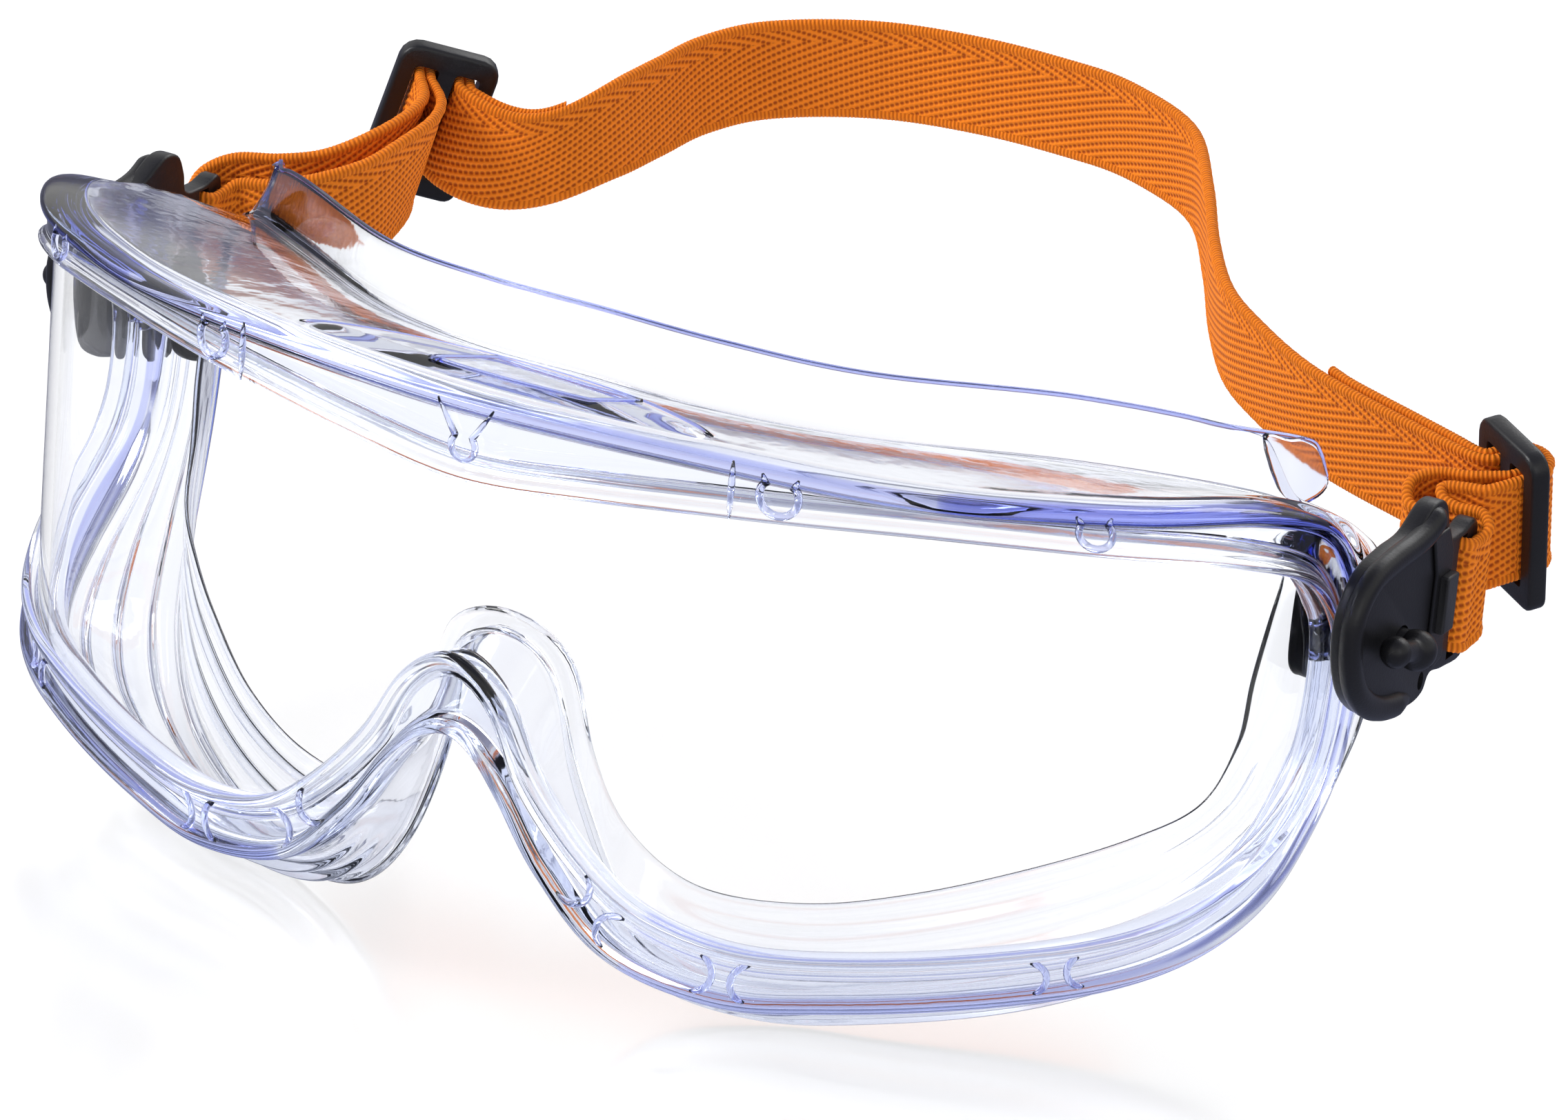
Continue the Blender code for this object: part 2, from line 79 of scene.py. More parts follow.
# drawings below measure y from the front of the lens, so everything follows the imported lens
LENS_FRONT_Y = 1000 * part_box("lens")[0][1]

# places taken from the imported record
HINGE = frame["record"]["behaviour"]["joints"][0]["pos_m"]
PIVOT_Y = 1000 * HINGE[1] - LENS_FRONT_Y
PIVOT_Z = 1000 * HINGE[2]
CLIP_INNER = 1000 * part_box("left_clip")[0][0]
CLIP_OUTER = 1000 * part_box("left_clip")[1][0]
CLIP_THICKNESS = CLIP_OUTER - CLIP_INNER
BAR_X = (CLIP_INNER + CLIP_OUTER) / 2
BAR_Y = 84.5
BAR_Z = 51.5

# headband
STRAP_WIDTH = 15.0
STRAP_THICKNESS = 1.1
STRAP_TILT = math.radians(12.0)
BUCKLE_CENTRES = {1: (91.0, 97.6), -1: (-77.0, 118.6)}
BUCKLE_LEAN = {1: 0.0, -1: math.radians(21.0)}
TWIST_NEAR = 7.0
TWIST_FAR = 26.0
BUCKLE_WIDTH = 13.6
BUCKLE_LENGTH = 22.0
BUCKLE_THICKNESS = 2.5
BUCKLE_BAR = 2.2
BUCKLE_SLOT = 3.4
INNER_WRAP = 2.0
OUTER_WRAP = 3.5
CORD_RADIUS = 0.72
CORD_CENTRE = STRAP_WIDTH / 2 - CORD_RADIUS
FACE_HALF = STRAP_WIDTH / 2 - 2 * CORD_RADIUS
RIB_PITCH = 0.98
RIB_ANGLE = math.radians(21.0)
THREAD_PITCH = 0.74
WHIP_PITCH = 0.55
RIB_TURN = 4.3

SIDE_WORD = {1: "left", -1: "right"}
BLEND_BACK = {1: (40.0, 125.0), -1: (-52.0, 133.0)}

STATION_SPACING = 1.2
STRAP_STEP = 0.24
TURNED_SIDES = 40
ARC_STEPS = 10
STRAP_COLUMNS = 47
RIB_RISE = 0.11


def world(x, y, z):
    """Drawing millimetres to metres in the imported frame."""
    return Vector((x, y + LENS_FRONT_Y, z)) * MM


# ---- materials


def new_material(name):
    look = bpy.data.materials.new(name)
    look.use_nodes = True
    return look, look.node_tree, look.node_tree.nodes["Principled BSDF"]


def feed(node, inputs):
    """Gives each named input of a node a plain value, or the output of another node."""
    for name, value in inputs.items():
        if isinstance(value, bpy.types.NodeSocket):
            node.id_data.links.new(value, node.inputs[name])
        else:
            node.inputs[name].default_value = value


def add_node(tree, kind, inputs, **settings):
    made = tree.nodes.new("ShaderNode" + kind)
    for name, value in settings.items():
        setattr(made, name, value)
    feed(made, inputs)
    return made


def math_node(tree, operation, *values):
    return add_node(tree, "Math", dict(enumerate(values)), operation=operation).outputs[0]


def noise_texture(tree, scale, detail=3.0):
    place = add_node(tree, "TexCoord", {}).outputs["Object"]
    return add_node(tree, "TexNoise", {"Vector": place, "Scale": scale, "Detail": detail}).outputs["Fac"]


def bump(tree, height, strength, distance):
    inputs = {"Height": height, "Strength": strength, "Distance": distance}
    return add_node(tree, "Bump", inputs).outputs["Normal"]


def map_range(tree, source, limits):
    return add_node(tree, "MapRange", {"Value": source, **limits}).outputs[0]


def colour_ramp(tree, source, *stops):
    """Colour ramp from two stops, each a position and a colour."""
    ramp = add_node(tree, "ValToRGB", {"Fac": source})
    for element, (position, colour) in zip(ramp.color_ramp.elements, stops):
        element.position = position
        element.color = (*colour, 1.0)
    return ramp.outputs["Color"]


def absorb(tree, colour, density):
    volume = add_node(tree, "VolumeAbsorption", {"Color": (*colour, 1.0), "Density": density})
    feed(tree.nodes["Material Output"], {"Volume": volume.outputs[0]})


def clear_plastic(name, tint, ior, rough, haze, colour, density):
    """Clear plastic: rough is its range of roughness, haze the scale and depth of its uneven surface."""
    look, tree, shader = new_material(name)
    noise = noise_texture(tree, haze[0])
    feed(shader, {
        "Base Color": (*tint, 1.0),
        "Transmission Weight": 1.0,
        "IOR": ior,
        "Roughness": map_range(tree, noise, {"To Min": rough[0], "To Max": rough[1]}),
        "Normal": bump(tree, noise, 0.08, haze[1]),
    })
    absorb(tree, colour, density)
    return look


def clear_vinyl():
    tint, colour = (0.97, 0.98, 1.0), (0.22, 0.40, 0.92)
    return clear_plastic("clear_vinyl", tint, VINYL_IOR, (0.015, 0.06), (130.0, 0.0007), colour, 27.0)


def vinyl_edge():
    """The same vinyl along its thin edges, where light gathers and the blue is deepest."""
    tint, colour = (0.80, 0.84, 1.0), (0.10, 0.19, 0.88)
    return clear_plastic("clear_vinyl_edge", tint, VINYL_IOR, (0.03, 0.10), (160.0, 0.0004), colour, 1000.0)


def thin_vinyl(name, density):
    """The same vinyl in its small walls and end panels, a little bluer than the large faces."""
    tint, colour = (0.93, 0.95, 1.0), (0.12, 0.22, 0.90)
    return clear_plastic(name, tint, VINYL_IOR, (0.02, 0.08), (150.0, 0.0005), colour, density)


def edge_tint():
    """Blue that gathers inside the rounded edge of the lip: it only colours light on its way through."""
    look, tree, shader = new_material("lip_edge_tint")
    tree.nodes.remove(shader)
    surface = add_node(tree, "BsdfTransparent", {})
    feed(tree.nodes["Material Output"], {"Surface": surface.outputs[0]})
    absorb(tree, (0.12, 0.20, 0.86), 430.0)
    return look


def clear_sheet():
    """Lens sheet; a low index keeps it as free of reflections as a coated lens."""
    tint, colour = (1.0, 1.0, 1.0), (0.70, 0.78, 0.88)
    return clear_plastic("clear_polycarbonate", tint, 1.20, (0.0, 0.012), (25.0, 0.0002), colour, 18.0)


def black_moulded(name, ior):
    """Black plastic with a fine grain, and a painted highlight that makes it a little paler along its
    convex edges.
    """
    look, tree, shader = new_material(name)
    cloud = noise_texture(tree, 90.0, 4.0)
    # painted highlight: where the surface is sharply convex the base colour turns paler, as if its edges
    # caught the light
    edge_highlight = add_node(tree, "NewGeometry", {}).outputs["Pointiness"]
    shade = add_node(tree, "Mix", {
        "Factor": map_range(tree, edge_highlight, {"From Min": 0.53, "From Max": 0.65}),
        "A": colour_ramp(tree, cloud, (0.0, (0.004, 0.004, 0.005)), (1.0, (0.011, 0.011, 0.013))),
        # paler colour of the painted edge highlight
        "B": (0.028, 0.028, 0.031, 1.0),
    }, data_type="RGBA")
    feed(shader, {
        "Base Color": shade.outputs["Result"],
        "IOR": ior,
        "Roughness": map_range(tree, cloud, {"To Min": 0.28, "To Max": 0.46}),
        "Normal": bump(tree, noise_texture(tree, 2600.0, 2.0), 0.4, 0.00006),
    })
    return look


def wave(tree, phase):
    """0 to 1 cosine wave of a phase counted in turns."""
    swing = math_node(tree, "COSINE", math_node(tree, "MULTIPLY", phase, 2 * math.pi))
    return math_node(tree, "MULTIPLY_ADD", swing, 0.5, 0.5)


def weave_height(tree, along, across):
    """Twill ribs of rope-like threads that turn back near the top edge, and whipped cords at both edges."""
    from_turn = math_node(tree, "SUBTRACT", across, RIB_TURN)
    off_turn = math_node(tree, "ABSOLUTE", from_turn)
    climb = math_node(tree, "MULTIPLY", along, math.sin(RIB_ANGLE) / RIB_PITCH)
    phase = math_node(tree, "MULTIPLY_ADD", off_turn, math.cos(RIB_ANGLE) / RIB_PITCH, climb)
    rib = wave(tree, phase)
    shift = math_node(tree, "MULTIPLY", math_node(tree, "FLOOR", phase), 0.5)
    run = math_node(tree, "MULTIPLY_ADD", along, math.cos(RIB_ANGLE) / THREAD_PITCH, shift)
    lump = wave(tree, math_node(tree, "MULTIPLY_ADD", off_turn, -math.sin(RIB_ANGLE) / THREAD_PITCH, run))
    gap = math_node(tree, "MULTIPLY_ADD", rib, -1.0, 1.0)
    crossing = math_node(tree, "MULTIPLY", lump, lump)
    pit = math_node(tree, "MULTIPLY", gap, math_node(tree, "MULTIPLY_ADD", crossing, -0.6, 1.0))
    rounding = math_node(tree, "MULTIPLY_ADD", lump, 0.22, 0.78)
    body = math_node(tree, "MULTIPLY", math_node(tree, "MULTIPLY_ADD", pit, -1.0, 1.0), rounding)
    turns = wave(tree, math_node(tree, "MULTIPLY", along, 1.0 / WHIP_PITCH))
    whip = math_node(tree, "MULTIPLY_ADD", turns, 0.72, 0.28)
    is_cord = math_node(tree, "GREATER_THAN", math_node(tree, "ABSOLUTE", across), FACE_HALF)
    height = add_node(tree, "Mix", {"Factor": is_cord, "A": body, "B": whip}, data_type="FLOAT")
    return height.outputs["Result"]


def orange_webbing():
    """Woven elastic: the UV map holds millimetres along and across the webbing, and the colour carries
    painted shade in the pits of the weave.
    """
    look, tree, shader = new_material("orange_woven_elastic")
    place = add_node(tree, "UVMap", {}, uv_map="webbing")
    split = add_node(tree, "SeparateXYZ", {0: place.outputs[0]})
    height = weave_height(tree, split.outputs["X"], split.outputs["Y"])
    # painted shade: the ramp darkens the colour where the weave is low, in the pits and gaps between the
    # ribs, because the bump casts no shadow there; the noise gives the dye an uneven tone
    dye_and_pit_shade = add_node(tree, "Mix", {
        "Factor": 0.30,
        "A": colour_ramp(tree, height, (0.02, (0.34, 0.055, 0.003)), (0.72, (0.88, 0.225, 0.012))),
        "B": map_range(tree, noise_texture(tree, 700.0), {"To Min": 0.6, "To Max": 1.3}),
    }, data_type="RGBA", blend_type="MULTIPLY")
    feed(shader, {
        "Base Color": dye_and_pit_shade.outputs["Result"],
        "Roughness": 0.72,
        "Specular IOR Level": 0.15,
        "Sheen Weight": 0.05,
        "Sheen Roughness": 0.4,
        "Sheen Tint": (1.0, 0.62, 0.3, 1.0),
        "Normal": bump(tree, height, 0.9, 0.00026),
    })
    return look


def studio_floor():
    """Pale lit floor with a faint mirror of what stands on it."""
    look, tree, shader = new_material("studio_floor")
    feed(shader, {
        "Base Color": (0.25, 0.25, 0.25, 1.0),
        "Roughness": 0.9,
        "Specular IOR Level": 0.0,
        "Emission Color": (1.0, 1.0, 1.0, 1.0),
        "Emission Strength": 0.90,
    })
    mirror = add_node(tree, "BsdfAnisotropic", {"Roughness": 0.16, "Color": (1.0, 1.0, 1.0, 1.0)})
    mix = add_node(tree, "MixShader", {0: 0.24, 1: shader.outputs[0], 2: mirror.outputs[0]})
    feed(tree.nodes["Material Output"], {"Surface": mix.outputs[0]})
    return look


# ---- mesh helpers


def add_object(name, data):
    made = bpy.data.objects.new(name, data)
    bpy.context.scene.collection.objects.link(made)
    return made


def mesh_piece(name, points, faces, look, sharp=None):
    """A piece from points in millimetres; edges steeper than `sharp` degrees stay sharp."""
    mesh = bpy.data.meshes.new(name)
    mesh.from_pydata([world(*p) for p in points], [], faces)
    work = bmesh.new()
    work.from_mesh(mesh)
    bmesh.ops.recalc_face_normals(work, faces=work.faces)
    work.to_mesh(mesh)
    work.free()
    mesh.materials.append(look)
    mesh.shade_smooth()
    if sharp:
        mesh.set_sharp_from_angle(angle=math.radians(sharp))
    return add_object(name, mesh)


def spline(controls, steps):
    """Catmull-Rom curve through control rows, `steps` pieces between neighbours."""
    rows = np.array(controls, dtype=float)
    padded = np.vstack([2 * rows[0] - rows[1], rows, 2 * rows[-1] - rows[-2]])
    out = []
    for i in range(len(rows) - 1):
        a, b, c, d = padded[i : i + 4]
        for k in range(steps):
            t = k / steps
            bend = (2 * a - 5 * b + 4 * c - d) * t * t + (3 * b - a - 3 * c + d) * t**3
            out.append(0.5 * (2 * b + (c - a) * t + bend))
    out.append(rows[-1])
    return np.array(out)


def resample(line, spacing):
    """Evenly spaced points on a polyline, with their running length."""
    line = np.array(line, dtype=float)
    lengths = np.concatenate([[0], np.cumsum(np.linalg.norm(np.diff(line, axis=0), axis=1))])
    count = max(3, int(round(lengths[-1] / spacing)))
    even = np.linspace(0, lengths[-1], count + 1)
    return np.stack([np.interp(even, lengths, line[:, k]) for k in range(line.shape[1])], axis=1), even


def round_edges(piece, width):
    """Rounds the sharp edges by `width` millimetres."""
    edge = piece.modifiers.new("edge", "BEVEL")
    edge.width = width * MM
    edge.segments = 3
    edge.limit_method = "ANGLE"
    return edge


def ring_faces(count, size, closed=True):
    faces = []
    for i in range(count if closed else count - 1):
        j = (i + 1) % count
        for k in range(size):
            m = (k + 1) % size
            faces.append((i * size + k, j * size + k, j * size + m, i * size + m))
    return faces


def capped_faces(count, size):
    """Faces of an open stack of rings, with a flat cap at each end."""
    last = (count - 1) * size
    caps = [tuple(range(size)), tuple(range(last + size - 1, last - 1, -1))]
    return ring_faces(count, size, False) + caps


def spokes(first, second, sides):
    """Directions evenly round a section, from `first` by way of `second`."""
    turns = [2 * math.pi * k / sides for k in range(sides)]
    return [first * math.cos(turn) + second * math.sin(turn) for turn in turns]


def oval(centre, wide, high, sides):
    return [centre + spoke for spoke in spokes(np.array([wide, 0.0]), np.array([0.0, high]), sides)]


def unit(vectors):
    """A vector, or rows of vectors, scaled to length one."""
    return vectors / np.linalg.norm(vectors, axis=-1, keepdims=True)


def tube(name, line, radius, look, closed=False, sides=10):
    """Round cord along a 3-D line; open ends are rounded off."""
    line = np.array(line, dtype=float)
    count = len(line)
    if closed:
        ahead = unit(np.roll(line, -1, axis=0) - np.roll(line, 1, axis=0))
    else:
        ahead = unit(np.gradient(line, axis=0))
    points = []
    guide = np.array([0.0, 0.0, 1.0]) if abs(ahead[0][2]) < 0.9 else np.array([1.0, 0.0, 0.0])
    for index, (p, t) in enumerate(zip(line, ahead)):
        guide = unit(guide - t * guide.dot(t))
        from_end = count if closed else min(index, count - 1 - index)
        size = radius * (0.3, 0.8, 1.0)[min(from_end, 2)]
        points += [p + size * spoke for spoke in spokes(guide, np.cross(t, guide), sides)]
    faces = ring_faces(count, sides) if closed else capped_faces(count, sides)
    return mesh_piece(name, points, faces, look)


def smoothstep(value, low, high):
    t = np.clip((value - low) / (high - low), 0.0, 1.0)
    return t * t * (3 - 2 * t)


# ---- lens surface


def plan_point(s):
    side = -1.0 if s < 0 else 1.0
    length = abs(s)
    front_length = FRONT_RADIUS * FRONT_ANGLE
    temple_length = TEMPLE_RADIUS * (TEMPLE_ANGLE - FRONT_ANGLE)
    if length <= front_length:
        angle = length / FRONT_RADIUS
        x = FRONT_RADIUS * math.sin(angle)
        y = FRONT_RADIUS * (1 - math.cos(angle))
    else:
        x = (FRONT_RADIUS - TEMPLE_RADIUS) * math.sin(FRONT_ANGLE)
        y = FRONT_RADIUS - (FRONT_RADIUS - TEMPLE_RADIUS) * math.cos(FRONT_ANGLE)
        beyond = max(0.0, length - front_length - temple_length)
        angle = FRONT_ANGLE + (length - front_length - beyond) / TEMPLE_RADIUS
        x += TEMPLE_RADIUS * math.sin(angle) + beyond * math.cos(angle)
        y += -TEMPLE_RADIUS * math.cos(angle) + beyond * math.sin(angle)
    return side * x, y, side * math.sin(angle), -math.cos(angle)


def on_lens(s, z, forward=0.0):
    x, y, nx, ny = plan_point(s)
    return np.array([x + nx * forward, y + ny * forward, z])


# Each row is one place around the window, from the top centre over the temple to the nose:
# window edge (s, z), lip outer edge (s, z), skirt corner (x, y, z), face seal tip (x, y, z), flange height;
# s is the length along the lens's plan curve from its middle
RIM = [
    (0, 68.5, 0, 79.0, 0, 27, 73.0, 0, 28, 70.5, 8.5),
    (17, 70.0, 17, 79.0, 16, 28, 72.5, 16, 29, 70.0, 8.5),
    (33, 71.2, 33, 78.5, 33, 34, 71.5, 33, 35, 69.0, 8.0),
    (56, 71.8, 56, 77.0, 54, 50, 69.0, 53, 51, 66.5, 8.0),
    (79, 70.5, 78, 76.5, 71, 67, 64.0, 68, 67, 61.0, 7.0),
    (94, 67.5, 97, 74.5, 79, 75, 59.5, 74, 70, 57.5, 4.0),
    (106, 62.5, 112, 68.0, 82, 78, 55.0, 75.5, 66, 55.0, 1.2),
    (114, 54.0, 120.5, 57.0, 83, 79, 49.0, 75.5, 63, 50.0, 0.8),
    (115.5, 45.0, 122, 45.5, 83, 78, 41.0, 75.0, 61, 43.0, 0.8),
    (112.5, 36.0, 118.5, 33.0, 82, 75, 31.0, 74.5, 60, 35.0, 0.8),
    (102, 29.0, 107, 23.5, 79, 68, 20.0, 72.5, 56, 28.0, 0.8),
    (89, 24.0, 92, 17.5, 72, 55, 10.5, 67, 50, 24.0, 0.8),
    (70, 20.5, 71, 13.5, 61, 42, 4.5, 58.5, 42, 20.5, 0.8),
    (50, 17.8, 50, 10.5, 47, 31, 1.8, 47, 32.5, 17.0, 0.8),
    (37, 17.2, 36, 9.3, 34, 24, 1.0, 35, 26.5, 14.3, 0.8),
    (26, 20.0, 22, 12.8, 22, 19, 4.0, 22, 24, 13.7, 0.8),
    (18.5, 25.7, 12.8, 21.5, 14.5, 17, 12.5, 14, 20.5, 20.0, 0.8),
    (11.5, 34.0, 7.2, 29.8, 9.0, 15, 27.0, 11.0, 15.5, 31.0, 0.8),
    (6.3, 43.0, 3.4, 34.6, 6.0, 13.5, 41.0, 8.3, 13, 43.8, 0.8),
    (0, 47.0, 0, 36.2, 0, 12.5, 45.3, 0, 12, 48.0, 0.8),
]

LIP_DEPTH = 3.0
CREST_DEPTH = 14.0
CREST_SHARE = 0.88
PANEL_HALF = 33.0
POCKET_FLOOR = 0.95
RIB_COUNT = 3.5
RIB_DEPTH = 0.75
SEAL_RIBS = 3.0
SEAL_STEPS = np.linspace(0.08, 0.92, 15)
FLANGE_END = 4.35
FLANGE_FADE = 0.35
SIDE_BEAD = 0.8
FLANGE_TIP = [(72.5, 74.0, 69.6), (73.7, 76.4, 67.6), (74.6, 77.8, 63.4)]
FLANGE_FOOT = [(74.2, 74.5, 62.0), (72.6, 70.0, 62.6)]
PANEL_NORMAL = np.array([0.87, -0.49, 0.0])
PANEL_THICKNESS = 0.9
NOSE_PLACE = 15.0
TEMPLE_TINT = (3.0, 7.8)
LOWER_BRIDGES = (36.0, 76.0, 18.0)

# side view of the temple fittings: (y, z)
KNOB_LARGE = 2.5
KNOB_SMALL = 1.85
KNOB_NECK = 1.35
KNOB_STANDOFF = 2.2
BOSS_X = 80.6
SHAFT_X = 79.4
SHAFT_RADIUS = 2.2
HEAD_X = 78.6
HEAD_THICKNESS = 1.6
LEAF = [
    (62.3, 57.0), (65.0, 57.8), (68.0, 54.5), (69.5, 49.0),
    (69.0, 43.6), (66.8, 42.8), (62.4, 45.5), (61.6, 50.5),
]
CLIP_OUTLINE = [
    (72.0, 66.6), (75.6, 66.0), (77.2, 63.2), (78.0, 60.4), (82.0, 60.0), (86.3, 60.0), (86.3, 51.0),
    (86.3, 43.0), (80.8, 42.6), (76.6, 43.2), (74.8, 41.2), (70.5, 40.8), (61.4, 42.7), (57.0, 44.9),
    (53.4, 48.2), (51.0, 53.0), (50.6, 57.6), (52.4, 61.0), (55.7, 63.4), (61.4, 64.2), (67.0, 64.4),
]
CLIP_STEP = [
    (72.0, 62.5), (76.5, 62.5), (78.5, 59.0), (78.5, 45.0), (76.0, 44.2), (74.0, 46.5), (74.0, 57.0),
]
HOOK_TOOTH = [(75.2, 49.0), (78.3, 49.0), (78.3, 56.5), (75.2, 56.5)]
CLIP_SLOT = 2.2
SLOT_HALF = 8
BAR_RADIUS = 1.3
HOLE_RADIUS = 2.5
RIM_RADIUS = 1.45
RIM_SIDES = 14
RIM_PATH = [
    (71.0, 41.9, 0.0), (66.0, 42.6, 0.0), (61.6, 43.8, 0.0), (57.6, 45.9, 0.0), (54.2, 49.0, 0.0),
    (52.1, 53.2, 0.0), (51.7, 57.4, 0.0), (53.2, 60.2, 0.0), (56.2, 62.2, 0.1), (61.5, 62.9, 0.2),
    (66.0, 63.1, 0.3), (69.5, 63.6, 0.4), (72.0, 64.6, 0.5), (73.4, 65.6, 0.5),
]


def mirrored(row):
    return [-value if column in (0, 2, 4, 7) else value for column, value in enumerate(row)]


def stations():
    """Evenly spaced rows round the whole rim; the last column counts the place in RIM."""
    numbered = [list(row) + [index] for index, row in enumerate(RIM)]
    before = mirrored(numbered[1])
    before[-1] = -1
    after = mirrored(numbered[-2])
    after[-1] = len(RIM)
    fine = spline([before] + numbered + [after], 12)[12:-12]
    lip = np.array([on_lens(row[2], row[3]) for row in fine])
    lengths = np.concatenate([[0], np.cumsum(np.linalg.norm(np.diff(lip, axis=0), axis=1))])
    even = np.linspace(0, lengths[-1], int(round(lengths[-1] / STATION_SPACING)) + 1)
    half = np.stack([np.interp(even, lengths, fine[:, column]) for column in range(fine.shape[1])], axis=1)
    other = np.array([mirrored(row) for row in half[-2:0:-1]])
    return np.vstack([half, other])


ROWS = stations()
HALF_ROWS = ROWS[: len(ROWS) // 2 + 1]
UPPER_ROWS = HALF_ROWS[HALF_ROWS[:, -1] <= 7]
LOWER_ROWS = HALF_ROWS[HALF_ROWS[:, -1] >= 9][::-1]


def row_at(s, upper):
    """The rim row whose lip edge lies at s, on the upper or the lower run of the rim."""
    rows = UPPER_ROWS if upper else LOWER_ROWS
    found = np.array([np.interp(abs(s), rows[:, 2], rows[:, column]) for column in range(rows.shape[1])])
    return np.array(mirrored(found)) if s < 0 else found


def toward_lip(row, distance):
    start = np.array(row[0:2])
    return start + unit(np.array(row[2:4]) - start) * distance


def lip_width(row):
    return np.linalg.norm(np.array(row[2:4]) - np.array(row[0:2]))


def wall_frame(row, along):
    """Start and run of the skirt wall behind the lip, and the direction to its inside."""
    rear = on_lens(row[2], row[3], -LIP_DEPTH)
    wall = np.array(row[4:7]) - rear
    return rear, wall, unit(np.cross(wall, along))


def run_between(behind, ahead):
    """Way along the rear of the lip from one row to a later one."""
    return on_lens(ahead[2], ahead[3], -LIP_DEPTH) - on_lens(behind[2], behind[3], -LIP_DEPTH)


def wall_bulge(place, v):
    return 1.4 * math.sin(math.pi * v) * (1 - smoothstep(place, 14.5, 16.5))


def crest_reach(s, length):
    """How far back the raised leaf on the roof reaches, as a share of the wall."""
    return (CREST_DEPTH * (1 - (s / PANEL_HALF) ** 2) - 3.0) / length


def wall_lift(row, wall, v):
    """Raised leaf on the roof, and ribs that run along the sides and the bottom."""
    s, place = row[2], row[-1]
    lift = 0.0
    if abs(s) < PANEL_HALF and place < 4:
        reach = crest_reach(s, np.linalg.norm(wall))
        lift += 1.1 * smoothstep(reach - v, -0.045, 0.075)
    strength = 0.5 * smoothstep(place, 4.6, 5.8) + 0.5 * smoothstep(place, 8.5, 9.4)
    strength *= 1 - smoothstep(place, 14.4, 16.0)
    fade = smoothstep(v, 0.04, 0.16) * (1 - smoothstep(v, 0.80, 0.95))
    return lift + RIB_DEPTH * strength * fade * math.cos(2 * math.pi * RIB_COUNT * v)


def seal_rib(place, t):
    """Half the extra thickness of the ribs that run along the lower face seal."""
    strength = smoothstep(place, 8.5, 9.6) * (1 - smoothstep(place, 14.2, 15.6))
    return 0.27 * strength * math.cos(2 * math.pi * SEAL_RIBS * t)


def lip_section(row):
    """Front of the lip: window edge, bead, two pockets and outer edge."""
    width = lip_width(row)
    outline = [
        (0.0, GAP), (-0.1, 1.2), (0.25, 1.85), (0.8, 2.1), (1.35, 1.9),
        (1.65, POCKET_FLOOR + 0.1), (2.0, POCKET_FLOOR), (width * 0.5, POCKET_FLOOR + 0.1),
        (width - 2.3, POCKET_FLOOR), (width - 1.95, POCKET_FLOOR + 0.1), (width - 1.65, 1.9),
        (width - 0.9, 2.1), (width - 0.25, 1.7), (width, 0.9), (width + 0.1, -0.8),
    ]
    return section(row, outline)


def groove_section(row):
    """Back of the lip, with the groove that holds the edge of the lens."""
    deep = -LENS_THICKNESS - GAP
    reach = LENS_OVERLAP + GAP
    return section(row, [(1.4, -3.9), (0.9, -3.6), (0.8, deep), (reach, deep), (reach, GAP)])


def section(row, outline):
    return [on_lens(*toward_lip(row, distance), forward) for distance, forward in outline]


def flange_section(row, back, inward):
    """The flange at the skirt's rear corner, which sinks to a low bead along the sides."""
    place, corner, height = row[-1], row[4:7], row[10]
    turn = smoothstep(place, FLANGE_END - FLANGE_FADE, FLANGE_END) if place < 8 else 1.0
    height = height * (1 - turn) + SIDE_BEAD * turn
    outline = [
        (-0.8, -0.2), (-0.75, -height * 0.5), (-0.7, -height), (-0.45, -height - 0.25),
        (-0.2, -height), (-0.05, -height * 0.5), (0.35, 0.3),
    ]
    return [corner + back * behind + inward * inside for behind, inside in outline]


def seal_section(row, foot, along):
    """Thin lip of the face seal, down one side to its tip and back up the other."""
    tip = row[7:10]
    span = tip - foot
    way = unit(np.cross(span, along))
    ribs = [seal_rib(row[-1], t) for t in SEAL_STEPS]
    down = [foot + span * t - way * (0.30 + rib) for t, rib in zip(SEAL_STEPS, ribs)]
    up = [foot + span * t + way * (0.55 + rib) for t, rib in zip(SEAL_STEPS, ribs)]
    return down + [tip - way * 0.45, tip + unit(span) * 0.4, tip + way * 0.45] + up[::-1]


def frame_piece(look):
    """The soft moulding: lip, lens groove, roof, skirt, seal and nose flap as one closed ring."""
    count = len(ROWS)
    wall_steps = np.linspace(0.03, 0.95, 27)
    points = []
    for i, row in enumerate(ROWS):
        along = run_between(ROWS[i - 1], ROWS[(i + 1) % count])
        rear, wall, inward = wall_frame(row, along)
        back = unit(wall)
        ring = lip_section(row)
        inner = []
        for v in wall_steps:
            base = rear + wall * v - inward * wall_bulge(row[-1], v)
            ring.append(base - inward * wall_lift(row, wall, v))
            inner.append(base + inward * WALL)
        ring += flange_section(row, back, inward)
        ring += seal_section(row, ring[-1], along)
        ring.append(row[4:7] - back * 1.6 + inward * WALL)
        ring += inner[::-1] + groove_section(row)
        points += ring
    piece = mesh_piece("clear_frame", points, ring_faces(count, len(points) // count), look)
    smooth = piece.modifiers.new("round", "SUBSURF")
    smooth.levels = 1
    smooth.render_levels = 1
    return piece


def lip_point(s, upper, inset, forward=1.75):
    """Point on the lip at s, `inset` millimetres in from its outer edge."""
    row = row_at(s, upper)
    return on_lens(*toward_lip(row, lip_width(row) - inset), forward)


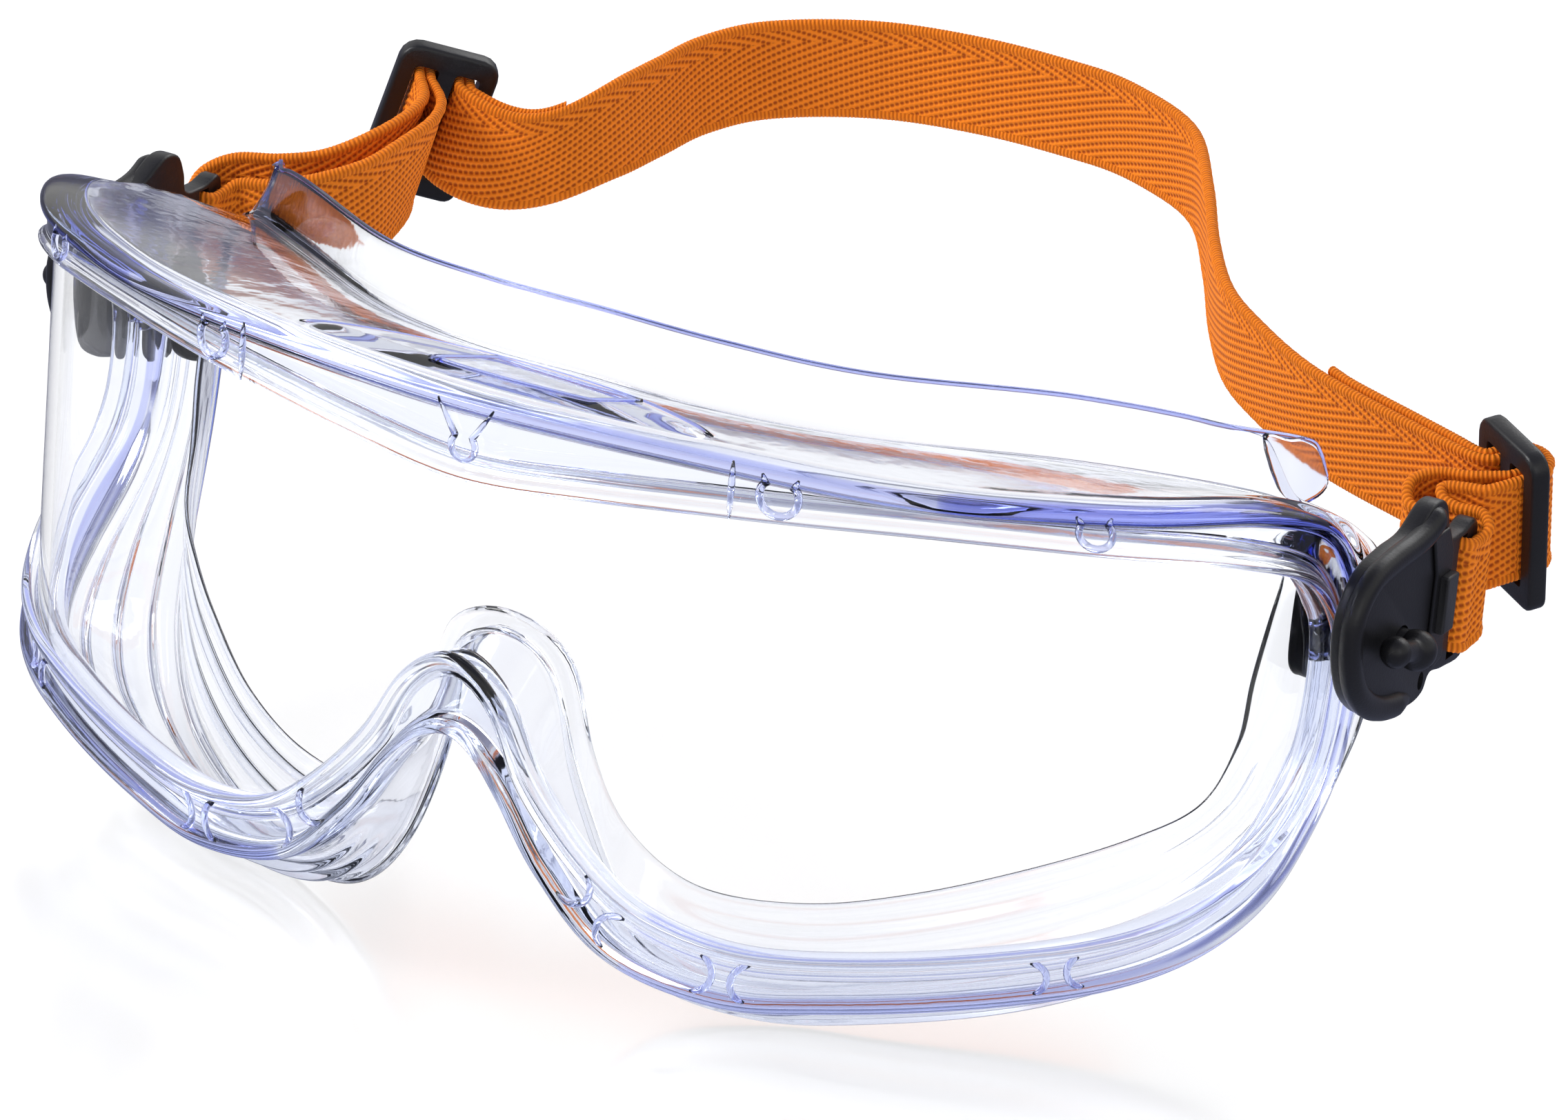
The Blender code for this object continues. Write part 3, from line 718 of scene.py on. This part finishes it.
def bulb(at, half_top, half_neck, radius, neck):
    """Light-bulb outline between two lip pockets, from the outer edge round the bulb and back."""
    lowest = lip_width(row_at(at, True)) - 1.2
    centre = min(neck + math.sqrt(max(radius**2 - half_neck**2, 0.0)), lowest - radius)
    halfway = ((half_top + half_neck) / 2, (0.7 + neck) / 2)
    outline = [(-half_top, 0.7), (-halfway[0], halfway[1]), (-half_neck, neck)]
    opening = math.asin(min(half_neck / radius, 1.0)) + 0.15
    for turn in np.linspace(opening, 2 * math.pi - opening, 17):
        outline.append((-radius * math.sin(turn), centre - radius * math.cos(turn)))
    outline += [(half_neck, neck), halfway, (half_top, 0.7)]
    return [lip_point(at + a, True, b) for a, b in outline]


def pocket_end(at, way, upper):
    """Rounded end of a pocket beside a bridge."""
    width = lip_width(row_at(at, upper))
    radius = (width - 3.0) / 2
    line = []
    for turn in np.linspace(-1.45, 1.45, 13):
        shift = way * (1.2 + radius * (1 - math.cos(turn)))
        line.append(lip_point(at + shift, upper, width / 2 + radius * math.sin(turn), 1.5))
    return line


def frame_details(rib, panel, edge, tint):
    """Everything that stands on the frame moulding, and the tint inside its lip."""
    made = [tube("centre_bulb", bulb(0.0, 3.7, 1.1, 1.6, 4.8), 0.42, rib)]
    for side in (-1, 1):
        made += side_details(side, SIDE_WORD[side], rib, panel)
    made.append(tube("roof_crest", roof_line(), 0.36, edge))
    made.append(tube("flange_edge", flange_rim(), 0.33, edge))
    made.append(roof_plate(edge))
    return made + tint_cores(tint)


def side_details(side, word, rib, panel):
    """Walls between the lip pockets, end of the roof's panel, flange end and swivel collar of one side."""
    made = [
        tube(word + "_inner_bulb", bulb(side * 38.5, 2.1, 1.6, 2.3, 1.9), 0.50, rib),
        tube(word + "_outer_bulb", bulb(side * 74.0, 2.0, 1.5, 1.9, 1.6), 0.46, rib),
    ]
    end = [lip_point(side * PANEL_HALF, True, inset, 2.0) for inset in (-0.2, 1.0, 2.5, 4.0, 5.5, 7.0)]
    made.append(tube(word + "_panel_end", end, 0.42, rib))
    for number, at in enumerate(LOWER_BRIDGES):
        for way in (-1, 1):
            name = word + "_bridge_" + str(number) + ("_out" if way > 0 else "_in")
            made.append(tube(name, pocket_end(side * at, way, False), 0.44, rib))
    return made + [fin(side, word, panel), boss(side, word, rib)]


def tint_cores(tint):
    """Cords of colour inside the lip: one round the window as far as the nose, one at each temple."""
    middle = len(ROWS) // 2
    around = [row for row in list(ROWS[middle:]) + list(ROWS[:middle]) if row[-1] < NOSE_PLACE]
    core = [on_lens(*toward_lip(row, lip_width(row) - 0.95), 0.2) for row in around]
    made = [tube("lip_edge_core", core, 0.72, tint)]
    temple = [row for row in HALF_ROWS if TEMPLE_TINT[0] < row[-1] < TEMPLE_TINT[1]]
    band = np.array([on_lens(*toward_lip(row, lip_width(row) - 1.3), -0.6) for row in temple])
    for side in (-1, 1):
        made.append(tube(SIDE_WORD[side] + "_temple_edge_core", band * (side, 1, 1), 1.05, tint))
    return made


def roof_point(s, v, lift=0.0):
    row = row_at(s, True)
    rear, wall, inward = wall_frame(row, run_between(row_at(s - 0.5, True), row_at(s + 0.5, True)))
    rise = wall_bulge(row[-1], v) + wall_lift(row, wall, v) + lift
    return rear + wall * v - inward * rise


def roof_line():
    """Rear edge of the raised leaf on the roof, up to where it runs into the lip."""
    s_end = PANEL_HALF * CREST_SHARE
    line = []
    for k in range(41):
        s = s_end * (k / 20 - 1)
        row = row_at(s, True)
        length = np.linalg.norm(np.array(row[4:7]) - on_lens(row[2], row[3], -LIP_DEPTH))
        line.append(roof_point(s, crest_reach(s, length), 0.1))
    return line


def flange_line():
    """Top edge of the thin upstanding flange, from one fin to the other."""
    line = []
    for i, row in enumerate(ROWS):
        if row[-1] > FLANGE_END - FLANGE_FADE:
            continue
        _, wall, inward = wall_frame(row, run_between(ROWS[i - 1], ROWS[(i + 1) % len(ROWS)]))
        line.append(row[4:7] - unit(wall) * 0.45 - inward * row[10])
    line.sort(key=lambda point: point[0])
    return line


def flange_rim():
    """The flange's top edge and on down the curved ends of its two end panels."""
    end = [np.array(point) for point in FLANGE_TIP]
    left = [point * (-1, 1, 1) for point in end[::-1]]
    return spline(left + flange_line()[2:-2:4] + end, 4)


def roof_plate(look):
    """Thin blank plate with a raised border on the leaf, left without its lettering."""
    corners = [(-9.0, 0.03), (13.0, 0.03), (17.5, 0.20), (-3.5, 0.30)]
    line = []
    for (s0, v0), (s1, v1) in zip(corners, corners[1:] + corners[:1]):
        for k in range(8):
            line.append(roof_point(s0 + (s1 - s0) * k / 8, v0 + (v1 - v0) * k / 8, 0.12))
    return tube("roof_plate_border", line, 0.30, look, closed=True, sides=6)


def fin(side, word, look):
    """End panel of the flange at the temple: it folds back from the flange and drops in a curve."""
    outline = smooth_loop([flange_line()[-1], (71.6, 71.5, 70.2)] + FLANGE_TIP + FLANGE_FOOT, 4)
    half = PANEL_NORMAL * PANEL_THICKNESS / 2
    points = [(point + shift) * (side, 1, 1) for shift in (-half, half) for point in outline]
    piece = mesh_piece(word + "_flange_end", points, capped_faces(2, len(outline)), look, sharp=40)
    round_edges(piece, 0.25)
    return piece


def turned(name, start, end, profile, look, closed=False):
    """Solid of revolution about a line; the profile holds (share of the line's length, radius)."""
    start, axis = np.array(start, dtype=float), np.subtract(end, start)
    guide = unit(np.cross(unit(axis), (0.0, 0.3, 1.0)))
    ways = spokes(guide, np.cross(unit(axis), guide), TURNED_SIDES)
    points = []
    for share, radius in profile:
        points += [start + axis * share + radius * way for way in ways]
    count = len(profile)
    faces = ring_faces(count, TURNED_SIDES) if closed else capped_faces(count, TURNED_SIDES)
    return mesh_piece(name, points, faces, look, sharp=50)


def boss(side, word, look):
    """Collar of the frame that the swivel shaft turns in."""
    profile = [(0.0, 2.6), (0.0, 3.3), (0.04, 3.6), (0.9, 3.7), (1.0, 3.3), (1.0, 2.6)]
    start = (side * BOSS_X, PIVOT_Y, PIVOT_Z)
    end = (side * (CLIP_INNER - 0.35), PIVOT_Y, PIVOT_Z)
    return turned(word + "_boss", start, end, profile, look, closed=True)


def lens_piece(look):
    """Smooth bent sheet whose edge follows the frame's groove."""
    edge = np.array([toward_lip(row, LENS_OVERLAP) for row in HALF_ROWS])
    widest = int(np.argmax(edge[:, 0]))
    top = edge[: widest + 1]
    low = edge[widest:][::-1]
    low = low[np.argsort(low[:, 0], kind="stable")]
    reach = edge[widest, 0] - 0.05
    columns = reach * np.sin(np.linspace(-math.pi / 2, math.pi / 2, 281))
    points = []
    levels = 7
    for s in columns:
        high_z = np.interp(abs(s), top[:, 0], top[:, 1])
        low_z = np.interp(abs(s), low[:, 0], low[:, 1])
        for k in range(levels):
            points.append(on_lens(s, high_z + (low_z - high_z) * k / (levels - 1), 0.0))
        for k in range(levels):
            points.append(on_lens(s, low_z + (high_z - low_z) * k / (levels - 1), -LENS_THICKNESS))
    return mesh_piece("clear_lens_sheet", points, capped_faces(len(columns), 2 * levels), look, sharp=40)


# ---- black mouldings


def plate_solid(name, outline, place, depth, look, bevel=0):
    """Flat plate: `place(a, b, d)` puts outline point (a, b) at depth d; edges are rounded."""
    points = [place(a, b, 0.0) for a, b in outline] + [place(a, b, depth) for a, b in outline]
    piece = mesh_piece(name, points, capped_faces(2, len(outline)), look, sharp=35)
    if bevel:
        round_edges(piece, bevel).angle_limit = math.radians(40)
    return piece


def apply_modifiers(piece):
    """Bakes the modifiers into the mesh and smooths it."""
    bpy.context.view_layer.update()
    graph = bpy.context.evaluated_depsgraph_get()
    mesh = bpy.data.meshes.new_from_object(piece.evaluated_get(graph))
    piece.modifiers.clear()
    piece.data = mesh
    mesh.shade_smooth()
    mesh.set_sharp_from_angle(angle=math.radians(35))


def cut(piece, form):
    """Takes the form out of the piece and removes the form."""
    change = piece.modifiers.new("cut", "BOOLEAN")
    change.operation = "DIFFERENCE"
    change.solver = "EXACT"
    change.object = form
    apply_modifiers(piece)
    bpy.data.objects.remove(form, do_unlink=True)


def smooth_loop(controls, steps=8):
    rows = [np.array(c, dtype=float) for c in controls]
    closed = [rows[-1]] + rows + [rows[0], rows[1]]
    return spline(closed, steps)[steps:-steps - 1]


def rounded_box(width, length, radius, chamfer, steps=4):
    """Rectangle outline with rounded corners; the two corners at +length are cut back further."""
    outline = []
    for sx, sy, r in ((1, -1, radius), (1, 1, chamfer), (-1, 1, chamfer), (-1, -1, radius)):
        start = math.atan2(sy, sx) - math.pi / 4
        for turn in np.linspace(start, start + math.pi / 2, steps + 1):
            a = sx * (width / 2 - r) + r * math.cos(turn)
            b = sy * (length / 2 - r) + r * math.sin(turn)
            outline.append((a, b))
    return outline


def turned_about(offsets, axis, turn):
    """Offsets turned about an axis by an angle, or by one angle each."""
    axis = unit(axis)
    turn = np.asarray(turn)[..., None]
    along = (offsets @ axis)[..., None] * axis
    return offsets * np.cos(turn) + np.cross(axis, offsets) * np.sin(turn) + along * (1 - np.cos(turn))


def follow_buckle(side, points):
    """Twists webbing with its leaning buckle; the twist fades out away from the buckle."""
    offsets = points - buckle_centre(side)
    fade = 1 - smoothstep(np.hypot(offsets[:, 0], offsets[:, 1]), TWIST_NEAR, TWIST_FAR)
    deep = leaned(buckle_axes(side)[1])
    return points - offsets + turned_about(offsets, deep, BUCKLE_LEAN[side] * fade)


def buckle_piece(side, look):
    """Flat two-slot slide with rounded corners, leaning with the headband."""
    word = SIDE_WORD[side]
    origin = buckle_centre(side)
    wide, deep = (leaned(way) for way in buckle_axes(side))
    long = np.array([0.0, -math.sin(STRAP_TILT), math.cos(STRAP_TILT)])

    def place(a, b, d):
        return origin + turned_about(wide * a + long * b + deep * d, deep, BUCKLE_LEAN[side])

    def face(a, b, d):
        return place(a, b, d - BUCKLE_THICKNESS / 2)

    def deep_form(a, b, d):
        return place(a, b, d - 6.0)

    outline = rounded_box(BUCKLE_WIDTH, BUCKLE_LENGTH, 1.6, 2.6)
    piece = plate_solid(word + "_slide_buckle", outline, face, BUCKLE_THICKNESS, look, 0.55)
    for way in (-1, 1):
        shift = way * (BUCKLE_BAR + BUCKLE_SLOT) / 2
        slot = [(a + shift, b) for a, b in rounded_box(BUCKLE_SLOT, STRAP_WIDTH + 1.4, 0.5, 0.5, 2)]
        cut(piece, plate_solid(word + "_slot_form", slot, deep_form, 12.0, look))
    return piece


def stud_piece(side, look, dull):
    """Leaf head behind the frame, shaft through it, and the two-ball knob on the outside."""
    word = SIDE_WORD[side]
    shaft = turned(
        word + "_shaft",
        (side * SHAFT_X, PIVOT_Y, PIVOT_Z),
        (side * (CLIP_OUTER + 1.2), PIVOT_Y, PIVOT_Z),
        [(0.0, SHAFT_RADIUS), (1.0, SHAFT_RADIUS)],
        look,
    )

    def inside(a, b, d):
        return np.array([side * (HEAD_X + d), a, b])

    head = plate_solid(word + "_stud_head", smooth_loop(LEAF), inside, HEAD_THICKNESS, dull, 0.5)
    axis = np.array([side, -9.0, 3.0])
    length = np.linalg.norm(axis) + KNOB_LARGE + KNOB_SMALL
    start = np.array([side * (CLIP_OUTER + KNOB_STANDOFF), PIVOT_Y, PIVOT_Z]) - unit(axis) * KNOB_LARGE
    knob = turned(word + "_knob", start, start + unit(axis) * length, peanut(length), look)
    return [shaft, head, knob]


def peanut(length):
    """Profile of a large ball, a neck and a small ball along one line."""
    rows = []
    steps = 44
    for k in range(steps + 1):
        at = length * (0.5 - 0.5 * math.cos(math.pi * k / steps))
        large = math.sqrt(max(KNOB_LARGE**2 - (at - KNOB_LARGE) ** 2, 0.0))
        small = math.sqrt(max(KNOB_SMALL**2 - (length - KNOB_SMALL - at) ** 2, 0.0))
        neck = KNOB_NECK if KNOB_LARGE < at < length - KNOB_SMALL else 0.0
        rows.append((at / length, (large**4 + small**4 + neck**4) ** 0.25 + 0.01))
    return rows


def clip_piece(side, look):
    """Swivelling plate with a raised front rim that runs up into the thumb tab, and a strap slot."""
    word = SIDE_WORD[side]

    def place(a, b, d):
        return np.array([side * (CLIP_INNER + d), a, b])

    def through(a, b, d):
        return np.array([side * (CLIP_INNER - 3.0 + d), a, b])

    def raised(lift):
        return lambda a, b, d: place(a, b, d + CLIP_THICKNESS + lift)

    outline = list(smooth_loop(CLIP_OUTLINE, 5))
    plate = plate_solid(word + "_swivel_clip", outline, place, CLIP_THICKNESS, look, 0.45)
    back = BAR_Y - BAR_RADIUS
    front = back - CLIP_SLOT
    low, high = BAR_Z - SLOT_HALF, BAR_Z + SLOT_HALF
    slot = [(front, low), (back, low), (back, high), (front, high)]
    cut(plate, plate_solid(word + "_strap_form", slot, through, 9.0, look))
    hole = oval((PIVOT_Y, PIVOT_Z), HOLE_RADIUS, HOLE_RADIUS, 32)
    cut(plate, plate_solid(word + "_hole_form", hole, through, 9.0, look))
    notch = oval((73.8, 43.2), 0.8, 1.2, 16)
    cut(plate, plate_solid(word + "_notch_form", notch, through, 9.0, look))
    rim = rim_bead(side, word, look)
    step = plate_solid(word + "_clip_step", CLIP_STEP, raised(-0.05), 0.55, look, 0.25)
    tooth = plate_solid(word + "_hook_tooth", HOOK_TOOTH, raised(0.3), 1.3, look, 0.3)
    return [plate, rim, step, tooth]


def rim_bead(side, word, look):
    """Thick rolled rim along the front of the clip, rising into the thumb tab."""
    line, lengths = resample(spline(RIM_PATH, 8), 0.5)
    ahead = unit(np.gradient(line, axis=0))
    points = []
    for (y, z, lift), (ty, tz, _), t in zip(line, ahead, lengths / lengths[-1]):
        taper = min(1.0, t / 0.08 + 0.05) * min(1.0, (1 - t) / 0.03 + 0.25)
        radius = RIM_RADIUS * math.sqrt(taper)
        middle = np.array([CLIP_OUTER - 0.35 + lift, y, z])
        sideways = unit(np.array([0.0, -tz, ty]))
        for spoke in spokes(sideways * 1.15, np.array([1.0, 0.0, 0.0]), RIM_SIDES):
            points.append((middle + radius * spoke) * (side, 1, 1))
    return mesh_piece(word + "_clip_rim", points, capped_faces(len(line), RIM_SIDES), look)


# ---- headband


def strap_height(y):
    rise = 49.0 + math.tan(STRAP_TILT) * (y - 57.0)
    return rise - 3.3 * math.exp(-(((y - BAR_Y) / 5.0) ** 2))


def strap_lean(y):
    return STRAP_TILT * smoothstep(y, 85.5, 93.5)


def buckle_axes(side):
    """Plan directions across a buckle and through it."""
    return np.array([side * 0.821, -0.571]), np.array([side * 0.571, 0.821])


def buckle_centre(side):
    x, y = BUCKLE_CENTRES[side]
    return np.array([x, y, strap_height(y)])


def leaned(way):
    """A plan direction, raised along the lean of the headband."""
    return np.array([way[0], way[1], way[1] * math.tan(STRAP_TILT)])


def wrap(side, offset):
    """Way round a buckle's centre bar, in through the inner slot and out through the outer one."""
    centre = np.array(BUCKLE_CENTRES[side])
    across, through = buckle_axes(side)
    points = [centre - across * offset - through * 1.5, centre - across * offset - through * 0.3]
    for turn in np.linspace(0, math.pi, ARC_STEPS + 1):
        points.append(centre - across * offset * math.cos(turn) + through * (0.9 + offset * math.sin(turn)))
    return points + [centre + across * offset - through * 0.3, centre + across * offset - through * 1.5]


def clip_wrap(side):
    """Way round the clip's rear bar, in front of it and past both faces of the plate."""
    reach = CLIP_THICKNESS / 2 + GAP + STRAP_THICKNESS / 2
    points = [np.array([side * (BAR_X - reach), BAR_Y])]
    for turn in np.linspace(0, math.pi, ARC_STEPS + 1):
        y = BAR_Y - 1.05 - 1.45 * math.sin(turn)
        points.append(np.array([side * (BAR_X - reach * math.cos(turn)), y]))
    return points + [np.array([side * (BAR_X + reach), BAR_Y])]


BACK_OF_HEAD = {
    1: [(0, 158.9), (10, 156.6), (20, 151), (28, 139.5), (35, 127.6), (42, 118), (50, 111.6), (58, 106.6),
        (66, 103.2), (76, 99.9), (82, 98.0), (86.2, 97.0)],
    -1: [(0, 158.9), (-15, 159.2), (-30, 156.8), (-43, 150.4), (-49, 143), (-51.5, 135), (-54, 127.4),
         (-58, 122.2), (-63, 119.2), (-68, 117.9), (-71.8, 117.7)],
}
INNER_LEG = {
    1: [(87.4, 93.2), (83.6, 92.4), (80.9, 90.0), (81.6, 87.2), (84.8, 86.2)],
    -1: [(-73.8, 112.6), (-71.2, 107), (-70.8, 101), (-72, 95.5), (-76, 90.8), (-82, 88.1), (-86.6, 87.0)],
}
OUTER_LEG = {
    1: [(92.6, 86.6), (91.0, 88.2), (88.0, 88.1), (85.6, 88.7), (85.0, 90.2), (87.6, 91.0), (90.4, 91.6)],
    -1: [(-92.2, 87.4), (-88.6, 90.4), (-83, 92.2), (-78.2, 95.2), (-75.2, 99.8), (-74.2, 105),
         (-75.6, 111)],
}
TAIL = {
    1: [(85.7, 98.3), (82, 99.6), (76, 101.6), (66, 104.9), (62, 106.7)],
    -1: [(-71.7, 119.2), (-68, 119.6), (-63, 121.0), (-59.4, 123.4)],
}


def smooth_run(start, controls, end, steps=8):
    """Curve from the last two points of start, past the controls, to the first two of end."""
    rows = list(start[-2:]) + [np.array(c, dtype=float) for c in controls] + list(end[:2])
    fine = spline(rows, steps)
    first = steps + 1 if len(start) else 0
    last = len(fine) - steps - 1 if len(end) else len(fine)
    return list(fine[first:last])


def rib_rise(length, v):
    """Height of the woven ribs, in step with the ribs of the material."""
    climb = length * math.sin(RIB_ANGLE) / RIB_PITCH
    phase = climb + np.abs(v - RIB_TURN) * math.cos(RIB_ANGLE) / RIB_PITCH
    return RIB_RISE * (0.5 * np.cos(2 * math.pi * phase) - 0.5)


def webbing_profile():
    """Section of the band as rows of across, out and 1 on a cord: cord, face, cord and back."""
    flat = np.linspace(FACE_HALF + 0.05, -FACE_HALF - 0.05, STRAP_COLUMNS)
    arc = np.linspace(-2.2, 2.2, 9)
    profile = [(CORD_CENTRE + CORD_RADIUS * math.cos(a), CORD_RADIUS * math.sin(a), 1.0) for a in arc]
    profile += [(v, STRAP_THICKNESS / 2, 0.0) for v in flat]
    profile += [(-CORD_CENTRE - CORD_RADIUS * math.cos(a), -CORD_RADIUS * math.sin(a), 1.0) for a in arc]
    profile += [(v, -STRAP_THICKNESS / 2, 0.0) for v in flat[::-1]]
    return np.array(profile).T


def webbing(name, plan, look, start_length, side):
    """Flat band with whipped round edges along a plan line; the weave is mirrored from side to side."""
    line, lengths = resample(plan, STRAP_STEP)
    ahead = unit(np.gradient(line, axis=0))
    across, out, cord = webbing_profile()
    middle_of_cord = np.sign(across) * CORD_CENTRE
    points = []
    uvs = []
    for (x, y), (dx, dy), length in zip(line, ahead, lengths + start_length):
        lean = strap_lean(y)
        up = np.array([0.0, -math.sin(lean), math.cos(lean)])
        normal = np.array([-dy, dx, 0.0])
        middle = np.array([x, y, strap_height(y)])
        whip = 1 + 0.07 * math.cos(2 * math.pi * length / WHIP_PITCH) * cord
        rise = np.where(cord > 0.5, middle_of_cord + (across - middle_of_cord) * whip, across)
        thick = out * whip + np.sign(out) * rib_rise(length * side, across) * (1 - cord)
        section = middle + np.outer(rise, up) + np.outer(thick, normal)
        points += list(follow_buckle(side, section))
        uvs += [(length * side, v) for v in across]
    piece = mesh_piece(name, points, capped_faces(len(line), len(across)), look, sharp=75)
    mesh = piece.data
    layer = mesh.uv_layers.new(name="webbing")
    corners = np.zeros(len(mesh.loops), dtype=np.int32)
    mesh.loops.foreach_get("vertex_index", corners)
    layer.data.foreach_set("uv", np.array(uvs, dtype=np.float32)[corners].ravel())
    return piece


def strap_place(x, y):
    return world(x, y, strap_height(y))


def headband(look):
    """Main band, loop through each clip and loose tail."""
    pieces = []
    for side in (1, -1):
        word = SIDE_WORD[side]
        inner = wrap(side, INNER_WRAP)
        outer = wrap(side, OUTER_WRAP)
        bar = clip_wrap(side)
        centre = np.array(BUCKLE_CENTRES[side])
        across, through = buckle_axes(side)
        main = spline([(-side * 12, 157.6)] + BACK_OF_HEAD[side] + inner[:2], 8)[8:-8]
        half = webbing(word + "_headband", list(main) + inner[1:], look, 0.0, side)
        leg = smooth_run(inner, INNER_LEG[side], bar) + bar + smooth_run(bar, OUTER_LEG[side], outer[::-1])
        loop = webbing(word + "_clip_loop", [inner[-1]] + leg + [outer[-1]], look, 3.0, side)
        tail = outer[::-1][1:] + smooth_run(outer[::-1], TAIL[side], [])
        end = webbing(word + "_strap_tail", [outer[-1]] + tail, look, 7.0, side)
        back = BLEND_BACK[side]
        slot = centre - across * 4.5 - through * 1.5
        for piece in (half, end):
            strap_place(*back)
            strap_place(*slot)
            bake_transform(piece)
        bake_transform(loop)
        pieces += [half, loop, end]
    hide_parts("strap")


# ---- stage


def camera():
    azimuth, elevation, roll = math.radians(27.0), math.radians(22.5), math.radians(5.0)
    distance, focal_pixels = 908.0, 11551.0
    level = math.cos(elevation)
    back = Vector((math.sin(azimuth) * level, -math.cos(azimuth) * level, math.sin(elevation)))
    right = Vector((math.cos(azimuth), math.sin(azimuth), 0.0))
    up = back.cross(right)
    turned_right = right * math.cos(roll) + up * math.sin(roll)
    turned_up = up * math.cos(roll) - right * math.sin(roll)
    data = bpy.data.cameras.new("camera")
    data.sensor_width = 36.0
    data.lens = focal_pixels / IMAGE_WIDTH * 36.0
    data.shift_y = 6.0 / IMAGE_WIDTH
    data.clip_start = 0.05
    data.clip_end = 20.0
    made = add_object("camera", data)
    place = world(42.0, 0.0, 69.1) + back * distance * MM
    turn = Matrix((turned_right, turned_up, back)).transposed().to_4x4()
    made.matrix_world = Matrix.Translation(place) @ turn
    bpy.context.scene.camera = made


def area_light(name, place, size, power):
    data = bpy.data.lights.new(name, "AREA")
    data.shape = "RECTANGLE"
    data.size, data.size_y = size
    data.energy = power
    made = add_object(name, data)
    made.location = Vector(place)
    made.rotation_mode = "QUATERNION"
    made.rotation_quaternion = (Vector((0, 0, 0.04)) - Vector(place)).to_track_quat("-Z", "Y")


def studio_world():
    """Soft white surroundings with darker parts overhead and at the horizon, which draw the clear edges."""
    surroundings = bpy.data.worlds.new("studio")
    bpy.context.scene.world = surroundings
    surroundings.use_nodes = True
    tree = surroundings.node_tree
    place = add_node(tree, "TexCoord", {})
    split = add_node(tree, "SeparateXYZ", {0: place.outputs["Generated"]})
    height = math_node(tree, "MULTIPLY_ADD", split.outputs["Z"], 0.5, 0.5)
    ramp = add_node(tree, "ValToRGB", {"Fac": height})
    stops = ramp.color_ramp.elements
    stops[0].color = (0.25, 0.28, 0.42, 1.0)
    stops[1].color = (0.35, 0.36, 0.40, 1.0)
    for position, value in ((0.49, 0.24), (0.53, 0.36), (0.58, 1.0), (0.86, 1.0), (0.93, 0.5)):
        stops.new(position).color = (value, value, min(1.0, value * 1.35), 1.0)
    feed(tree.nodes["Background"], {"Color": ramp.outputs["Color"], "Strength": 0.8})


def studio():
    studio_world()
    area_light("key", (-0.85, -0.62, 0.95), (0.6, 0.6), 15.0)
    area_light("fill", (0.95, -0.55, 0.55), (0.5, 0.5), 0.8)
    area_light("rim", (0.1, 1.1, 0.8), (0.9, 0.4), 4.0)
    mesh = bpy.data.meshes.new("studio_floor")
    reach = 3.0
    corners = [(-reach, -reach, 0), (reach, -reach, 0), (reach, reach, 0), (-reach, reach, 0)]
    mesh.from_pydata(corners, [], [(0, 1, 2, 3)])
    mesh.materials.append(studio_floor())
    floor = add_object("studio_floor", mesh)
    floor.location.z = -0.0003
    floor.visible_glossy = False


def ride_all(pieces, body, node=None):
    for piece in pieces:
        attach(piece, body)
    if node:
        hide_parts(node)


def write_sizes():
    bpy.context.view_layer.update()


def main():
    vinyl, edge, sheet = clear_vinyl(), vinyl_edge(), clear_sheet()
    rib, panel = thin_vinyl("clear_vinyl_rib", 330.0), thin_vinyl("clear_vinyl_panel", 140.0)
    tint = edge_tint()
    black, orange = black_moulded("black_moulded_plastic", 1.38), orange_webbing()
    dull = black_moulded("dull_black_plastic", 1.12)
    ride_all([frame_piece(vinyl)], "frame_body", "frame")
    ride_all(frame_details(rib, panel, edge, tint), "frame_body")
    ride_all([lens_piece(sheet)], "frame_body", "lens")
    headband(orange)
    for side, word in SIDE_WORD.items():
        ride_all(stud_piece(side, black, dull), "frame_body", word + "_stud")
        ride_all(clip_piece(side, black), word + "_clip_body", word + "_clip")
        ride_all([buckle_piece(side, black)], word + "_buckle_body", word + "_buckle")
    camera()
    studio()
    scene = bpy.context.scene
    scene.view_settings.view_transform = "Standard"
    scene.cycles.max_bounces = 20
    scene.cycles.transmission_bounces = 18
    scene.cycles.transparent_max_bounces = 32
    write_sizes()


main()
